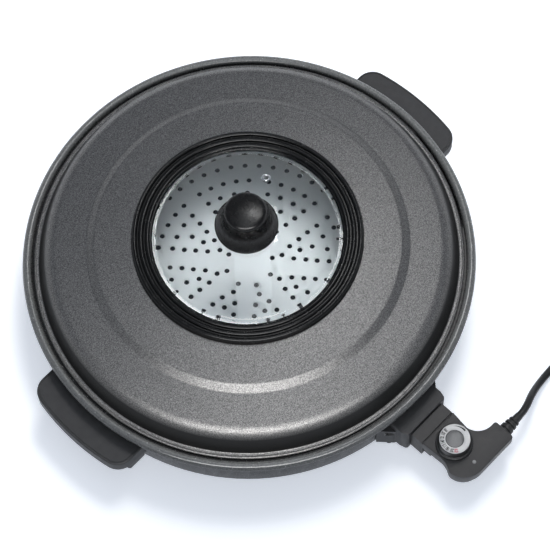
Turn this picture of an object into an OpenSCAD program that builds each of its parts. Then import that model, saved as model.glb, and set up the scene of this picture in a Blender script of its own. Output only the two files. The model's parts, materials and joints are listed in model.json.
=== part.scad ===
// Round electric skillet: a cast pan with side handles, a steam plate, a domed metal lid
// with a glass lid in its middle, and a plug-in thermostat on a coiled mains lead.
// Origin on the pan's axis at table level, +Z up, +X through a handle, -Y to the thermostat.

/* [Pan] */
// Diameter over the rim bead
rim_d = 420; // [400:2:440]
// Height of the rim's top above the table
rim_top = 64.5; // [62:0.5:70]
// Radius of the rim bead's section
bead_r = 4.3; // [3.6:0.1:4.6]
// Thickness of the cast wall
wall_t = 3.5; // [3:0.1:4.2]
// Thickness of the cast floor
floor_t = 4; // [3.6:0.1:5]
// Height of the floor's underside above the table
floor_z = 11; // [10:0.5:13]
// Radius under the corner between floor and wall, inside the skirt
corner_r = 13; // [11:0.5:16]
// How far the wall leans out over its height
wall_draft = 0.6; // [0.3:0.1:1.5]
// Height of the skirt's lower edge above the table
skirt_z = 4.5; // [4:0.1:6]
// Depth of the lid's seat below the rim's top
seat_depth = 4.5; // [4:0.1:5.5]
// Width of the lid's seat
seat_w = 5; // [4.6:0.1:5.6]

/* [Heating element] */
// Distance from the rim in to the element's ring
element_inset = 60; // [54:1:70]
// Diameter of the element's steel sheath
element_d = 7; // [6.5:0.1:7.5]
// Height of the element's centre above the table
element_z = 9; // [8.6:0.1:9.4]
// Radius of the bends that take its ends out to the pins
element_bend = 5.5; // [5:0.1:6]
// Distance between the two terminal pins
pin_pitch = 24; // [22:0.5:25]
// Diameter of a terminal pin
pin_d = 4.8; // [4.4:0.1:5]
// Length of a terminal pin beyond its insulator
pin_len = 10.5; // [9:0.5:11]

/* [Side handles] */
// Width of a handle along the rim
handle_w = 114; // [104:1:120]
// How far a handle reaches out past the rim
handle_out = 24; // [20:0.5:30]
// Height of a handle's top above the table
handle_top = 48; // [46:0.5:50]
// Depth of the handle's skirt
handle_drop = 14; // [12:0.5:15]
// Thickness of the handle's skin
handle_t = 3.2; // [2.6:0.1:3.6]
// Radius of the handle's outer corners in plan
handle_corner = 17; // [12:0.5:20]
// Width of a handle's leg
leg_w = 18; // [15:1:20]
// Distance from one leg of a handle to the other
leg_pitch = 84; // [80:1:88]

/* [Feet] */
// Diameter of a rubber foot
foot_d = 10.5; // [10:0.5:11.5]
// Height of a rubber foot below its leg
foot_h = 5; // [4:0.5:6]

/* [Socket guard] */
// Width of the guard's block
guard_w = 54; // [52:1:58]
// How far the guard's front stands out past the rim
guard_out = 12.5; // [11:0.5:15]
// Height of the guard's top above the table
guard_top = 43; // [41:0.5:45]
// Thickness of the guard's walls
guard_t = 2.8; // [2.4:0.1:3.2]

/* [Steam plate] */
// Room between the plate's foot and the pan's wall
plate_room = 18; // [16:0.5:24]
// How far the folded foot leans out past the plate
stand_out = 8; // [6:0.5:10]
// Height of the plate's top above the table
plate_top = 40; // [36:0.5:44]
// Thickness of the plate
plate_t = 1; // [0.8:0.1:1.5]
// Diameter of a steam hole
hole_d = 4.8; // [4:0.1:5.4]

/* [Metal lid] */
// Room between the lid's rolled edge and the pan's lip
edge_room = 2; // [1.9:0.1:2.2]
// Radius of the rolled edge's section
edge_bead = 1.6; // [1.3:0.1:1.6]
// Thickness of the lid's sheet
lid_t = 1.5; // [1.2:0.1:2]
// Radius of the shoulder where the steep side meets the crown
shoulder_r = 10; // [8:0.5:12]
// Distance from the rim in to the middle of the embossed step
step_inset = 65.5; // [60:0.5:72]
// Height of the glass lid's seat above the rolled edge
lid_rise = 40.4; // [38:0.2:44]
// Room between the glass's edge and the lid's opening
opening_room = 4; // [3.6:0.1:4.4]

/* [Glass lid] */
// Radius of the glass disc
glass_r = 92; // [91:0.1:92.5]
// Thickness of the glass
glass_t = 4; // [3.5:0.1:4.2]
// Rise of the dome above its flat rim
dome_rise = 21; // [17:0.5:24]
// Width of the glass's flat rim outside the dome
glass_rim = 8; // [7:0.5:10]
// Distance of the steam vent from the centre
vent_r = 55; // [48:0.5:60]
// Width of the silicone ring beyond the glass
ring_w = 14.3; // [13.8:0.1:14.6]

/* [Knob] */
// Diameter of the knob's flange
knob_d = 57.6; // [52:0.2:60]
// Height of the knob over its seal
knob_h = 33; // [29:0.5:36]
// Diameter of the knob's cap
cap_d = 39.5; // [36:0.5:42]

/* [Thermostat] */
// Width of the housing at the neck
neck_w = 41; // [39:0.5:42]
// Length of the housing beyond its neck
body_len = 55.5; // [54:0.5:59]
// Reach of the cable's arm from the middle
arm_x = 40.5; // [39:0.5:42]
// Height of the housing's top above the table
body_top = 40; // [39:0.5:42]
// Height of the housing's underside above the table
body_low = 14; // [13:0.5:15]
// Thickness of the housing's shells
shell_t = 2.2; // [1.8:0.1:2.6]
// Diameter of the temperature probe
probe_d = 7; // [6:0.1:7.5]
// Height of the probe and the pins above the table
plug_z = 20; // [19.8:0.1:20.2]

/* [Dial] */
// Diameter of the dial's skirt
dial_d = 34; // [30:0.5:34]
// Diameter of the printed face ring
face_d = 28.8; // [26:0.2:29]
// Height of the dial above the housing
dial_h = 12; // [10:0.5:14]
// Diameter of the control spindle
spindle_d = 6; // [5:0.1:6.5]

/* [Mains lead] */
// Diameter of the cable
cable_d = 7; // [6:0.1:7]

/* [Hidden] */
// One name for each separate piece of the assembly

$fn = 48;
fit = 0.05;      // running fit of a shaft in its hole, on the radius
gap = 0.3;       // room between curved faces of pieces that come apart
sink = 0.5;      // how far a boss runs into the wall that carries it

// pan
rim_r = rim_d / 2;
bead_at = rim_r - bead_r;
lip_r = bead_at - bead_r;
seat_z = rim_top - seat_depth;
seat_r = lip_r - seat_w;
wall_r = seat_r + wall_t;
wall_low_r = wall_r - wall_draft;
wall_top = seat_z - wall_t - 2;
floor_top = floor_z + floor_t;
inner_corner = corner_r - wall_t;
skirt_in = wall_low_r - wall_t;
corner_turn = acos((skirt_in - wall_low_r + corner_r) / corner_r);
clear_r = wall_r + gap;

// element and socket
element_r = rim_r - element_inset;
groove_r = element_d / 2 + gap;
rib_half = element_d / 2 + 4.5;
rib_z = element_z - 2;
leg_fillet = 15;
pin_x = pin_pitch / 2;
socket_y = wall_r + 7.6;                        // where the sheath ends and the pins begin
straight_y = socket_y - 1;                      // where the sheath starts to bend
collar_len = 3.5;
boss_half = 7;
boss_face = socket_y - 1;
probe_tip = wall_r - 11;
probe_depth = probe_tip - 1;
notch_y = wall_low_r - 2.3;

// handles
handle_reach = rim_r + handle_out;
handle_low = handle_top - handle_drop;
corner_y = handle_w / 2 - handle_corner;
corner_x = sqrt(pow(handle_reach - handle_corner, 2) - pow(corner_y, 2));
leg_x = wall_r + 7;
leg_y = leg_pitch / 2;
foot_stem_d = 5;
foot_stem = 6;
lug_y = 24;
lug_x = wall_r + 14;
lug_w = 16;
lug_t = 4;
lug_top = handle_top - handle_t - 2.6;
lug_z = lug_top - lug_t;
screw_d = 3.9;

// guard
guard_y = rim_r + guard_out;
ear_top = 34;
ear_x = guard_w / 2 + 4.5;                      // screws of the guard
pad_r = 3.6;
pad_y = wall_r - 0.3;
ear_web = 2;
head_r = 3.2;
head_y = pad_y + ear_web;
guard_screw_z = 27;
guard_bite = 4.4;
ear_foot_d = 8;
ear_foot = [guard_w / 2 + 0.5, wall_r + 3.1];
nose_w = 34;
nose_h = 16;
nose_y = socket_y + collar_len + 1;

// steam plate
stand_t = 1;
stand_r = wall_low_r - wall_t - plate_room;
plate_r = stand_r - stand_out;
stand_foot = 4;
stand_flange = 10;

// metal lid, from its rolled edge up to the flat round the opening
edge_r = lip_r - edge_room - edge_bead;
edge_z = seat_z + gap + edge_bead;
skirt_r = edge_r - 3.2;
step_r = rim_r - step_inset;
crown_slope = 9.6;
side_lean = 16;
lid_seat_z = edge_z + lid_rise;
step_rise = 3.6;
step_half = 3.4;
opening_r = glass_r + opening_room;
flat_r = opening_r + 9;

// glass lid
dome_r = glass_r - glass_rim;
ring_r = glass_r + ring_w;
ring_base = lid_seat_z + gap;
glass_z = ring_base - 2.1;
rim_glass_z = glass_z + glass_t;
sphere_r = (dome_r * dome_r + dome_rise * dome_rise) / (2 * dome_rise);
sphere_z = rim_glass_z + dome_rise - sphere_r;
dome_top = rim_glass_z + dome_rise;
ridge_pitch = 6;
ridge_r = 2.4;
first_ridge = glass_r - 1;
ridge_z = ring_base + 3.4;
vent_turn = 25.4;
vent_tilt = asin(vent_r / sphere_r);
vent_tube = 3;

// knob
seal_t = 2;
knob_z = dome_top + seal_t;
cap_z = knob_z + knob_h;
washer_r = 9;
washer_drop = sphere_r - glass_t - sqrt(pow(sphere_r - glass_t, 2) - washer_r * washer_r);
washer_z = dome_top - glass_t - washer_drop - 1.5;
insert_r = 4.5;
insert_len = 20;
knob_screw_r = 2.45;
knob_post_r = 8;

// thermostat
split_z = (body_top + body_low) / 2;
neck_y = guard_y + 0.4;
body_y = guard_y + 14;
body_end = body_y + body_len;
neck_top = body_top - 2;
neck_low = body_low - 3;
dial_x = -1;
dial_y = -body_y - 20.5;
skirt_h = 3;
lamp_x = -2;
lamp_y = -body_y - 45.5;
arm_y = body_y + 33.5;
cable_y = (arm_y + body_end) / 2 - 1;
cable_z = split_z;
housing_middle = [8, -body_end + 17];
body_taper = 3.3;
seam = 0.4;
bolt_x = 11;
bolt_y = body_y + 16.5;
arm_bolt = 22.5;
heel_bolt = 14;
shell_bolt = 8;
terminal_r = 3.4;
terminal_end = body_y + 6;

// mains lead: points of the cable's centre line, out from where it leaves its relief
relief_len = 23;
relief_end = arm_x + relief_len;
lay = cable_d / 2;                              // height of the line on the table
coil_out = 98.5;
coil_mid = 38;
coil_rows = 3;
coil_layers = 2;
line_y = 13;                                    // how far the line swings back to the pan
lead_route = [for (p = [[0, 0, cable_z], [1.5, 0, cable_z], [6.5, 0.6, cable_z - 0.4],
        [13.5, 2.7, 25], [20.5, 5.1, 21.6], [27.5, 7.2, 17.4], [35.5, 9.4, 12.6],
        [43.5, 11, 8.4], [51.5, 12.1, 5.5], [60.5, 12.8, lay + 0.4], [69.5, line_y, lay],
        [79.5, line_y, lay], [89.5, line_y, lay], [coil_out, line_y, lay]])
    [relief_end + p[0], p[1] - cable_y, p[2]]];
coil_at = [relief_end + coil_out, line_y - cable_y - coil_mid - lay * (coil_rows - 1)];
tail_route = [for (p = [[0, 3 * lay], [10, 3 * lay + 0.2], [19, 12], [28, 14.3], [36, 16.6],
        [43, 18.2], [48, 18.5], [50, 18.5]])
    [coil_at[0] + p[0], line_y - cable_y, p[1]]];
plug_x = coil_at[0] + 50;
plug_y = line_y - cable_y;
plug_axis = 18.5;
plug_r = 18.5;
prong_d = 4.8;
prong_root_d = 5.2;
prong_pitch = 19;
prong_len = 17;
plug_boot = 16;
plug_grip = 38;
plug_face = plug_x + plug_boot + plug_grip;

// ---------------------------------------------------------------- helpers

// Points of an arc about c in the plane of the profile
function arc(c, r, from, to, steps = 8) =
    [for (i = [0:steps]) let (a = from + (to - from) * i / steps)
        [c[0] + r * cos(a), c[1] + r * sin(a)]];

// A cylinder that lies along -Y, from y = -from to y = -to
module along_y(x, z, r, from, to) {
    translate([x, -from, z]) rotate([90, 0, 0]) cylinder(r = r, h = to - from);
}

// Puts its children on both sides of the YZ plane
module both_sides() {
    children();
    mirror([1, 0, 0]) children();
}

// Places its children on each handle's side of the pan
module each_handle() {
    for (turn = [0, 180]) rotate([0, 0, turn]) children();
}

// Rows of a moulding's softened upper edge, as [inset, height], from its side to its top
function soft_rows(r, top) = [for (a = [0:30:90]) [r * (1 - cos(a)), top - r * (1 - sin(a))]];

// Skins a stack of plans, all clockwise and with as many points, one at each height; its two
// ends are fans round a middle that sees the whole plan
module moulding(plans, heights, middle) {
    n = len(plans[0]);
    last = len(plans) - 1;
    ends = (last + 1) * n;
    polyhedron(concat([for (i = [0:last]) for (p = plans[i]) [p[0], p[1], heights[i]]],
            [for (z = [heights[0], heights[last]]) [middle[0], middle[1], z]]),
        concat([for (i = [0:last - 1]) for (k = [0:n - 1])
            let (a = i * n + k, b = i * n + (k + 1) % n)
            each [[a, b, b + n], [a, b + n, a + n]]],
            [for (k = [0:n - 1]) [ends, (k + 1) % n, k]],
            [for (k = [0:n - 1]) [ends + 1, last * n + k, last * n + (k + 1) % n]]),
        convexity = 8);
}

// A box given by its lowest corner and its highest corner
module block(low, high) {
    translate(low) cube(high - low);
}

// Sweeps a round cable along a route as one closed skin
module cable(route, d, sides = 10) {
    last = len(route) - 1;
    along = [for (i = [0:last])
        let (v = route[min(i + 1, last)] - route[max(i - 1, 0)]) v / norm(v)];
    rings = [for (i = [0:last])
        let (u0 = cross([0, 0, 1], along[i]), u = u0 / norm(u0), w = cross(along[i], u))
        [for (k = [0:sides - 1]) let (a = 360 * k / sides)
            route[i] + d / 2 * (u * cos(a) + w * sin(a))]];
    points = [for (ring = rings) for (p = ring) p];
    sides_faces = [for (i = [0:last - 1]) for (k = [0:sides - 1])
        let (a = i * sides + k, b = i * sides + (k + 1) % sides)
        [a, b, b + sides, a + sides]];
    polyhedron(points, concat(sides_faces,
        [[for (k = [0:sides - 1]) sides - 1 - k]],
        [[for (k = [0:sides - 1]) last * sides + k]]), convexity = 6);
}

// ---------------------------------------------------------------- pan

module pan_profile() {
    polygon(concat(
        [[0, floor_z]],
        // hollow under the corner, then the skirt that hides the element
        arc([wall_low_r - corner_r, floor_z + corner_r], corner_r, -90, -corner_turn),
        [[skirt_in, skirt_z + 0.6], [skirt_in + 0.6, skirt_z]],
        arc([wall_low_r - 2, skirt_z + 2], 2, -90, 0, 4),
        [[wall_r, wall_top], [bead_at, rim_top - 2 * bead_r], [bead_at, rim_top - bead_r],
            [lip_r, rim_top - bead_r], [lip_r, seat_z], [seat_r, seat_z]],
        arc([wall_low_r - corner_r, floor_top + inner_corner], inner_corner, 0, -90),
        [[0, floor_top]]));
    translate([bead_at, rim_top - bead_r]) circle(r = bead_r);
}

// The element's centre line: from one pin's side, round the ring, to the other
out_r = element_r + leg_fillet;
bend_x = pin_x + leg_fillet;
bend_at_y = sqrt(out_r * out_r - bend_x * bend_x);
ring_open = asin(bend_x / out_r);
leg_turn = 90 - ring_open;

// One end of the element, from the socket to the start of the ring, on the +X side
function element_end() = concat(
    [[pin_x, -socket_y, plug_z]],
    [for (a = [0:30:90]) [pin_x, -straight_y + element_bend * sin(a),
        plug_z - element_bend + element_bend * cos(a)]],
    [for (a = [30:30:60]) [pin_x, -straight_y + 2 * element_bend - element_bend * cos(a),
        element_z + element_bend - element_bend * sin(a)]],
    [[pin_x, -straight_y + 2 * element_bend + 1, element_z]],
    [for (i = [0:6]) let (a = 180 - leg_turn * i / 6)
        [bend_x + leg_fillet * cos(a), -bend_at_y + leg_fillet * sin(a), element_z]]);

function element_route() =
    let (half = element_end(), n = len(half), steps = 72, sweep = 360 - 2 * ring_open)
    concat(half,
        [for (i = [1:steps - 1]) let (a = -90 + ring_open + sweep * i / steps)
            [element_r * cos(a), element_r * sin(a), element_z]],
        [for (i = [n - 1:-1:0]) [-half[i][0], half[i][1], half[i][2]]]);

// Square channel that the element is pressed into, from the casting's underside
module element_channel() {
    tall = element_d / 2 + gap + element_z - rib_z + 1;
    translate([0, 0, rib_z - 1]) {
        difference() {
            cylinder(r = element_r + groove_r, h = tall, $fn = 120);
            translate([0, 0, -1]) cylinder(r = element_r - groove_r, h = tall + 2, $fn = 120);
            translate([-bend_x, -element_r - 20, -1]) cube([2 * bend_x, 40, tall + 2]);
        }
        both_sides() {
            translate([pin_x - groove_r, -socket_y, 0])
                cube([2 * groove_r, socket_y - element_r + groove_r, tall]);
            translate([pin_x - groove_r, -element_r - groove_r - 1, 0])
                cube([bend_x - pin_x + groove_r + 1, 2 * groove_r + 3.6, tall]);
            linear_extrude(tall) polygon([[pin_x, -bend_at_y], [pin_x + groove_r, -bend_at_y],
                [pin_x + groove_r + 3.4, -element_r - groove_r - 0.5],
                [pin_x, -element_r - groove_r - 0.5]]);
        }
    }
}

module handle_lug(side) {
    block([wall_low_r - wall_t / 2, side * lug_y - lug_w / 2, lug_z],
        [lug_x + 8, side * lug_y + lug_w / 2, lug_top]);
}

module pan_body() {
    color([0.25, 0.26, 0.26])
    difference() {
        union() {
            rotate_extrude($fn = 180) pan_profile();
            // rib under the floor that carries the element, and its two arms to the front
            translate([0, 0, rib_z]) difference() {
                cylinder(r = element_r + rib_half, h = floor_z - rib_z + sink, $fn = 120);
                translate([0, 0, -1])
                    cylinder(r = element_r - rib_half, h = floor_z - rib_z + 1, $fn = 120);
            }
            both_sides() block([pin_x - rib_half, -skirt_in - sink, rib_z],
                [pin_x + rib_half, -element_r, floor_z + sink]);
            // boss outside the wall and pad inside it, bored for the probe
            block([-boss_half, -boss_face, floor_z + 1],
                [boss_half, -wall_low_r + wall_t, plug_z + probe_d / 2 + 4]);
            block([-boss_half - 3, -wall_low_r + wall_t / 2, floor_z + sink],
                [boss_half + 3, -probe_depth + 4, plug_z + probe_d / 2 + 4]);
            each_handle() for (side = [-1, 1]) handle_lug(side);
            both_sides() along_y(ear_x, guard_screw_z, pad_r, wall_low_r - wall_t / 2 - 4, pad_y);
        }
        element_channel();
        // notch in the skirt where the element's ends turn up to the pins
        both_sides() block([pin_x - groove_r, -socket_y - 1, skirt_z - 1],
            [pin_x + groove_r, -notch_y, plug_z + 0.5]);
        along_y(0, plug_z, probe_d / 2 + fit, probe_depth, boss_face + 1);
        each_handle() for (side = [-1, 1])
            translate([lug_x, side * lug_y, lug_z - 1])
                cylinder(d = screw_d + 0.3, h = lug_t + 2);
        both_sides() along_y(ear_x, guard_screw_z, screw_d / 2 + fit,
            pad_y - guard_bite - 0.2, pad_y + 1);
    }
}

module heating_element() {
    color([0.62, 0.62, 0.64]) cable(element_route(), element_d, 12);
}

module terminal_insulators() {
    color([0.93, 0.91, 0.86])
    both_sides() difference() {
        along_y(pin_x, plug_z, element_d / 2, socket_y, socket_y + collar_len);
        along_y(pin_x, plug_z, pin_d / 2 + fit, socket_y - 1, socket_y + collar_len + 1);
    }
}

module terminal_pins() {
    color([0.78, 0.78, 0.8])
    both_sides() {
        along_y(pin_x, plug_z, pin_d / 2, socket_y, socket_y + collar_len + pin_len - 1.2);
        translate([pin_x, -socket_y - collar_len - pin_len + 1.2, plug_z])
            rotate([90, 0, 0]) cylinder(r1 = pin_d / 2, r2 = pin_d / 2 - 1, h = 1.2);
    }
}

// ---------------------------------------------------------------- handles and feet

// Plan of a handle, drawn in by inset from its outline; its outer edge is concentric
// with the pan and its corners are arcs that meet the edge and the straight sides
function handle_plan(inset, root) =
    let (turn = atan2(corner_y, corner_x), r = handle_corner - inset,
        upper = arc([corner_x, corner_y], r, 90, turn),
        edge = arc([0, 0], handle_reach - inset, turn, -turn, 10))
    concat([[root, corner_y + r]], upper, edge,
        [for (i = [len(upper) - 1:-1:0]) [upper[i][0], -upper[i][1]]],
        [[root, -corner_y - r]]);

module handle() {
    groove = 1.8;
    root = wall_r - 24;
    rows = concat([[0.6, handle_low], [0, handle_low + 0.8]], soft_rows(1.1, handle_top));
    difference() {
        union() {
            difference() {
                moulding([for (r = rows) handle_plan(r[0], root)], [for (r = rows) r[1]],
                    [leg_x, 0]);
                translate([0, 0, handle_low - 1])
                    linear_extrude(handle_drop - handle_t + 1)
                        polygon(handle_plan(handle_t, root - 10));
                // fine line round the top, a little way in from the edge
                translate([0, 0, handle_top - 0.6]) linear_extrude(1) difference() {
                    polygon(handle_plan(groove, root - 10));
                    polygon(handle_plan(groove + 0.8, root - 20));
                }
            }
            for (side = [-1, 1]) {
                // leg under the root, and the post that the screw bites into
                block([wall_r - 4, side * leg_y - leg_w / 2, foot_h],
                    [leg_x + foot_d / 2 + 1, side * leg_y + leg_w / 2, handle_top - 1]);
                translate([lug_x, side * lug_y, lug_top])
                    cylinder(r = 5.5, h = handle_top - lug_top - 1);
            }
        }
        translate([0, 0, -1]) cylinder(r = clear_r, h = rim_top, $fn = 180);
        for (side = [-1, 1]) {
            translate([leg_x, side * leg_y, foot_h - 1])
                cylinder(d = foot_stem_d + 2 * fit, h = foot_stem + 1.5);
            translate([lug_x, side * lug_y, lug_top - 1])
                cylinder(d = screw_d + 2 * fit, h = 5);
        }
    }
}

module right_handle() { color([0.2, 0.2, 0.21]) handle(); }

module left_handle() { color([0.2, 0.2, 0.21]) rotate([0, 0, 180]) handle(); }

module handle_screws() {
    color([0.7, 0.7, 0.72])
    each_handle() for (side = [-1, 1]) translate([lug_x, side * lug_y, lug_z]) {
        difference() {
            translate([0, 0, -2.4]) cylinder(r = 3.7, h = 2.4);
            translate([0, 0, -3]) cylinder(r = 1.6, h = 1.8, $fn = 6);
        }
        cylinder(d = screw_d, h = lug_t + 3.4);
    }
}

module rubber_foot(d) {
    cylinder(d1 = d - 1.4, d2 = d, h = 1.2);
    translate([0, 0, 1.2]) cylinder(d = d, h = foot_h - 1.2);
    translate([0, 0, foot_h]) cylinder(d = foot_stem_d, h = foot_stem);
}

module handle_feet() {
    color([0.1, 0.1, 0.1])
    each_handle() for (side = [-1, 1]) translate([leg_x, side * leg_y, 0])
        rubber_foot(foot_d);
}

// ---------------------------------------------------------------- socket guard

// Plan of the guard's block, drawn in by inset
function guard_plan(inset) =
    let (half = guard_w / 2 - inset, front = guard_y - inset, back = wall_r - 12)
    [[half, -back], [half, -front + 7], [half - 1.6, -front + 1.5], [half - 3.2, -front],
        [-half + 3.2, -front], [-half + 1.6, -front + 1.5], [-half, -front + 7],
        [-half, -back]];

// Plan of one ear: a gusset from the block's side out to the pan's wall
module ear_plan() {
    offset(r = 1.2) offset(delta = -1.2) polygon([[guard_w / 2 - 3, -wall_r + 8],
        [ear_x + 7, -wall_r + 8], [ear_x + 7, -wall_r + 2.7],
        [guard_w / 2 + 1, -wall_r - 9.6], [guard_w / 2 - 3, -wall_r - 12]]);
}

module socket_guard() {
    mouth = 0.5;
    rows = concat([[0, 8]], soft_rows(1, guard_top));
    color([0.17, 0.17, 0.18])
    difference() {
        union() {
            moulding([for (r = rows) guard_plan(r[0])], [for (r = rows) r[1]],
                [0, -(wall_r + guard_y) / 2]);
            both_sides() translate([0, 0, foot_h]) linear_extrude(ear_top - foot_h)
                ear_plan();
        }
        difference() {
            translate([0, 0, 7]) linear_extrude(guard_top - guard_t - 7)
                polygon(guard_plan(guard_t));
        }
        block([-nose_w / 2 - mouth, -guard_y - 1, plug_z - nose_h / 2 - mouth],
            [nose_w / 2 + mouth, -guard_y + guard_t + 1, plug_z + nose_h / 2 + mouth]);
        translate([0, 0, 4]) cylinder(r = clear_r, h = rim_top, $fn = 180);
        both_sides() {
            along_y(ear_x, guard_screw_z, pad_r + gap, wall_r - 6, pad_y);
            along_y(ear_x, guard_screw_z, screw_d / 2 + fit, pad_y - 1, head_y + 8);
            along_y(ear_x, guard_screw_z, head_r + 0.5, head_y, head_y + 14);
            translate([ear_foot[0], -ear_foot[1], foot_h - 1])
                cylinder(d = foot_stem_d + 2 * fit, h = foot_stem + 1.5);
        }
    }
}

module guard_screws() {
    color([0.7, 0.7, 0.72])
    both_sides() {
        along_y(ear_x, guard_screw_z, screw_d / 2, pad_y - guard_bite, head_y);
        difference() {
            along_y(ear_x, guard_screw_z, head_r, head_y, head_y + 1.8);
            translate([ear_x, -head_y - 0.8, guard_screw_z]) rotate([90, 0, 0])
                cylinder(r = 1.4, h = 3, $fn = 6);
        }
    }
}

module guard_feet() {
    color([0.1, 0.1, 0.1])
    both_sides() translate([ear_foot[0], -ear_foot[1], 0]) rubber_foot(ear_foot_d);
}

// ---------------------------------------------------------------- steam plate

// Holes of one eighth of the plate: radius, then angles either side of its middle
hole_sets = [[22, [0]], [31.5, [0]], [41.5, [-9, 9]], [49, [0]], [52.5, [-12, 12]],
    [61, [0]], [63, [-14, 14]], [74, [-15, -5.3, 5.3, 15]],
    [87, [-16.3, -8.3, 0, 8.3, 16.3]]];
// Rings of evenly spaced holes further out: radius, then number of holes
hole_rings = [[102.5, 48], [118, 48], [134, 56], [151, 64]];
hole_turn = -52;

module steam_plate() {
    sector = 45;
    color([0.75, 0.77, 0.78])
    translate([0, 0, plate_top - plate_t]) linear_extrude(plate_t) difference() {
        circle(r = plate_r, $fn = 180);
        rotate(hole_turn) {
            for (s = [0:7], set = hole_sets, a = set[1]) rotate(s * sector + sector / 2 + a)
                translate([set[0], 0]) circle(d = hole_d, $fn = 16);
            for (ring = hole_rings, k = [0:ring[1] - 1]) rotate((k + 0.1) * 360 / ring[1])
                translate([ring[0], 0]) circle(d = hole_d, $fn = 16);
        }
    }
}

module plate_stand() {
    top = plate_top - plate_t;
    color([0.72, 0.74, 0.75])
    rotate_extrude($fn = 180) polygon([
        [plate_r - stand_flange, top], [plate_r - stand_flange, top - stand_t],
        [plate_r - stand_t, top - stand_t],
        [stand_r - stand_foot, floor_top + stand_t], [stand_r - stand_foot, floor_top],
        [stand_r, floor_top], [stand_r, floor_top + stand_t],
        [stand_r - stand_foot + stand_t, floor_top + stand_t], [plate_r, top]]);
}

// ---------------------------------------------------------------- metal lid

// Middle of the lid's sheet: steep side, round shoulder, crown with its step, flat seat
function lid_line(inset) =
    let (crown_a = 90 - crown_slope, side_a = side_lean,
        r = shoulder_r - inset,
        sc = [skirt_r - 4.6 - shoulder_r, edge_z + 14.6],
        on_crown = [sc[0] + r * cos(crown_a), sc[1] + r * sin(crown_a)],
        fall = tan(crown_slope),
        step_out = step_r + step_half, step_in = step_r - step_half,
        z_out = on_crown[1] + (on_crown[0] - step_out) * fall,
        z_in = z_out + step_rise + 2 * step_half * fall,
        z_flat = lid_seat_z - inset)
    concat([[skirt_r - inset, edge_z + 1.2 - inset]],
        arc(sc, r, side_a, crown_a),
        [[step_out + 2.4, z_out - 2.4 * fall], [step_out, z_out + 0.3],
            [step_r + 1, (z_out + z_in) / 2 - 0.8], [step_r - 1, (z_out + z_in) / 2 + 0.8],
            [step_in, z_in - 0.3], [step_in - 2.4, z_in + 2.4 * fall],
            [flat_r + 3, z_flat - 0.5], [flat_r, z_flat], [opening_r, z_flat]]);

module lid_shell() {
    outer = lid_line(0);
    inner = lid_line(lid_t);
    color([0.42, 0.41, 0.41])
    rotate_extrude($fn = 180) {
        polygon(concat([[edge_r, edge_z + 1.2]], outer,
            [for (i = [len(inner) - 1:-1:0]) inner[i]],
            [[edge_r, edge_z + 1.2 - lid_t]]));
        translate([edge_r, edge_z]) circle(r = edge_bead);
    }
}

// ---------------------------------------------------------------- glass lid

module glass_profile() {
    difference() {
        intersection() {
            translate([0, sphere_z]) difference() {
                circle(r = sphere_r, $fn = 360);
                circle(r = sphere_r - glass_t, $fn = 360);
            }
            translate([0, glass_z]) square([dome_r, dome_rise + glass_t + 1]);
        }
        translate([-1, glass_z]) square([1, dome_rise + glass_t + 2]);
    }
    translate([dome_r - 0.01, glass_z]) square([glass_r - dome_r + 0.01, glass_t]);
}

// Stands its children on the dome where the steam vent goes, square to the glass
module at_vent() {
    rotate([0, 0, vent_turn]) translate([0, 0, sphere_z]) rotate([0, vent_tilt, 0])
        translate([0, 0, sphere_r]) children();
}

module glass_disc() {
    color([0.85, 0.9, 0.9, 0.35])
    difference() {
        rotate_extrude($fn = 180) glass_profile();
        translate([0, 0, dome_top - 2 * glass_t]) cylinder(r = knob_screw_r + 0.5, h = 3 * glass_t);
        at_vent() translate([0, 0, -2 * glass_t]) cylinder(r = vent_tube + fit, h = 3 * glass_t);
    }
}

module silicone_ring() {
    spigot = opening_r - 0.4;
    lip = glass_r - 5.2;
    color([0.1, 0.1, 0.1])
    rotate_extrude($fn = 180) polygon(concat(
        [[lip, rim_glass_z], [lip + 0.8, ridge_z]],
        [for (i = [0:2]) each arc([first_ridge + i * ridge_pitch, ridge_z], ridge_r, 180, 0)],
        [[ring_r - 0.6, ring_base + 1.6], [ring_r, ring_base], [spigot, ring_base],
            [spigot, glass_z - 2.6], [glass_r - 4, glass_z - 2.6], [glass_r - 4, glass_z],
            [glass_r, glass_z], [glass_r, rim_glass_z]]));
}

module vent_eyelet() {
    color([0.85, 0.85, 0.86])
    at_vent() rotate_extrude() polygon([
        [vent_tube - 0.8, -glass_t - 0.9], [vent_tube + 1.2, -glass_t - 0.9],
        [vent_tube + 1.2, -glass_t - 0.1], [vent_tube, -glass_t - 0.1], [vent_tube, 0],
        [vent_tube + 1.3, 0], [vent_tube + 1.1, 0.7], [vent_tube, 1],
        [vent_tube - 0.8, 0.7]]);
}

module knob() {
    flange = knob_d / 2;
    cap = cap_d / 2;
    low = knob_z + 0.6;
    waist = cap_z - 12;
    color([0.12, 0.12, 0.12])
    difference() {
        rotate_extrude($fn = 96) {
            // bell: flange, hollow flank that sweeps up to the cap, softly domed top
            polygon(concat(
                [[0, cap_z], [0, knob_z], [knob_post_r, knob_z], [knob_post_r, low + 6],
                    [flange - 7, low + 2.2], [flange - 1, low], [flange, low],
                    [flange, low + 2]],
                [for (i = [1:7]) let (t = i / 8)
                    [cap + (flange - 0.8 - cap) * pow(1 - t, 2.2), low + 2.6 + (waist - low - 2.6) * t]],
                [[cap, waist]],
                arc([cap - 5, cap_z - 6.5], 5, 0, 78),
                [[cap / 2, cap_z - 0.5]]));
        }
        translate([0, 0, knob_z - 1]) cylinder(r = insert_r + fit, h = insert_len + 1 + fit);
    }
}

module knob_insert() {
    color([0.8, 0.65, 0.3])
    difference() {
        translate([0, 0, knob_z]) cylinder(r = insert_r, h = insert_len);
        translate([0, 0, knob_z - 1]) cylinder(r = knob_screw_r + fit, h = insert_len - 1);
    }
}

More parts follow.
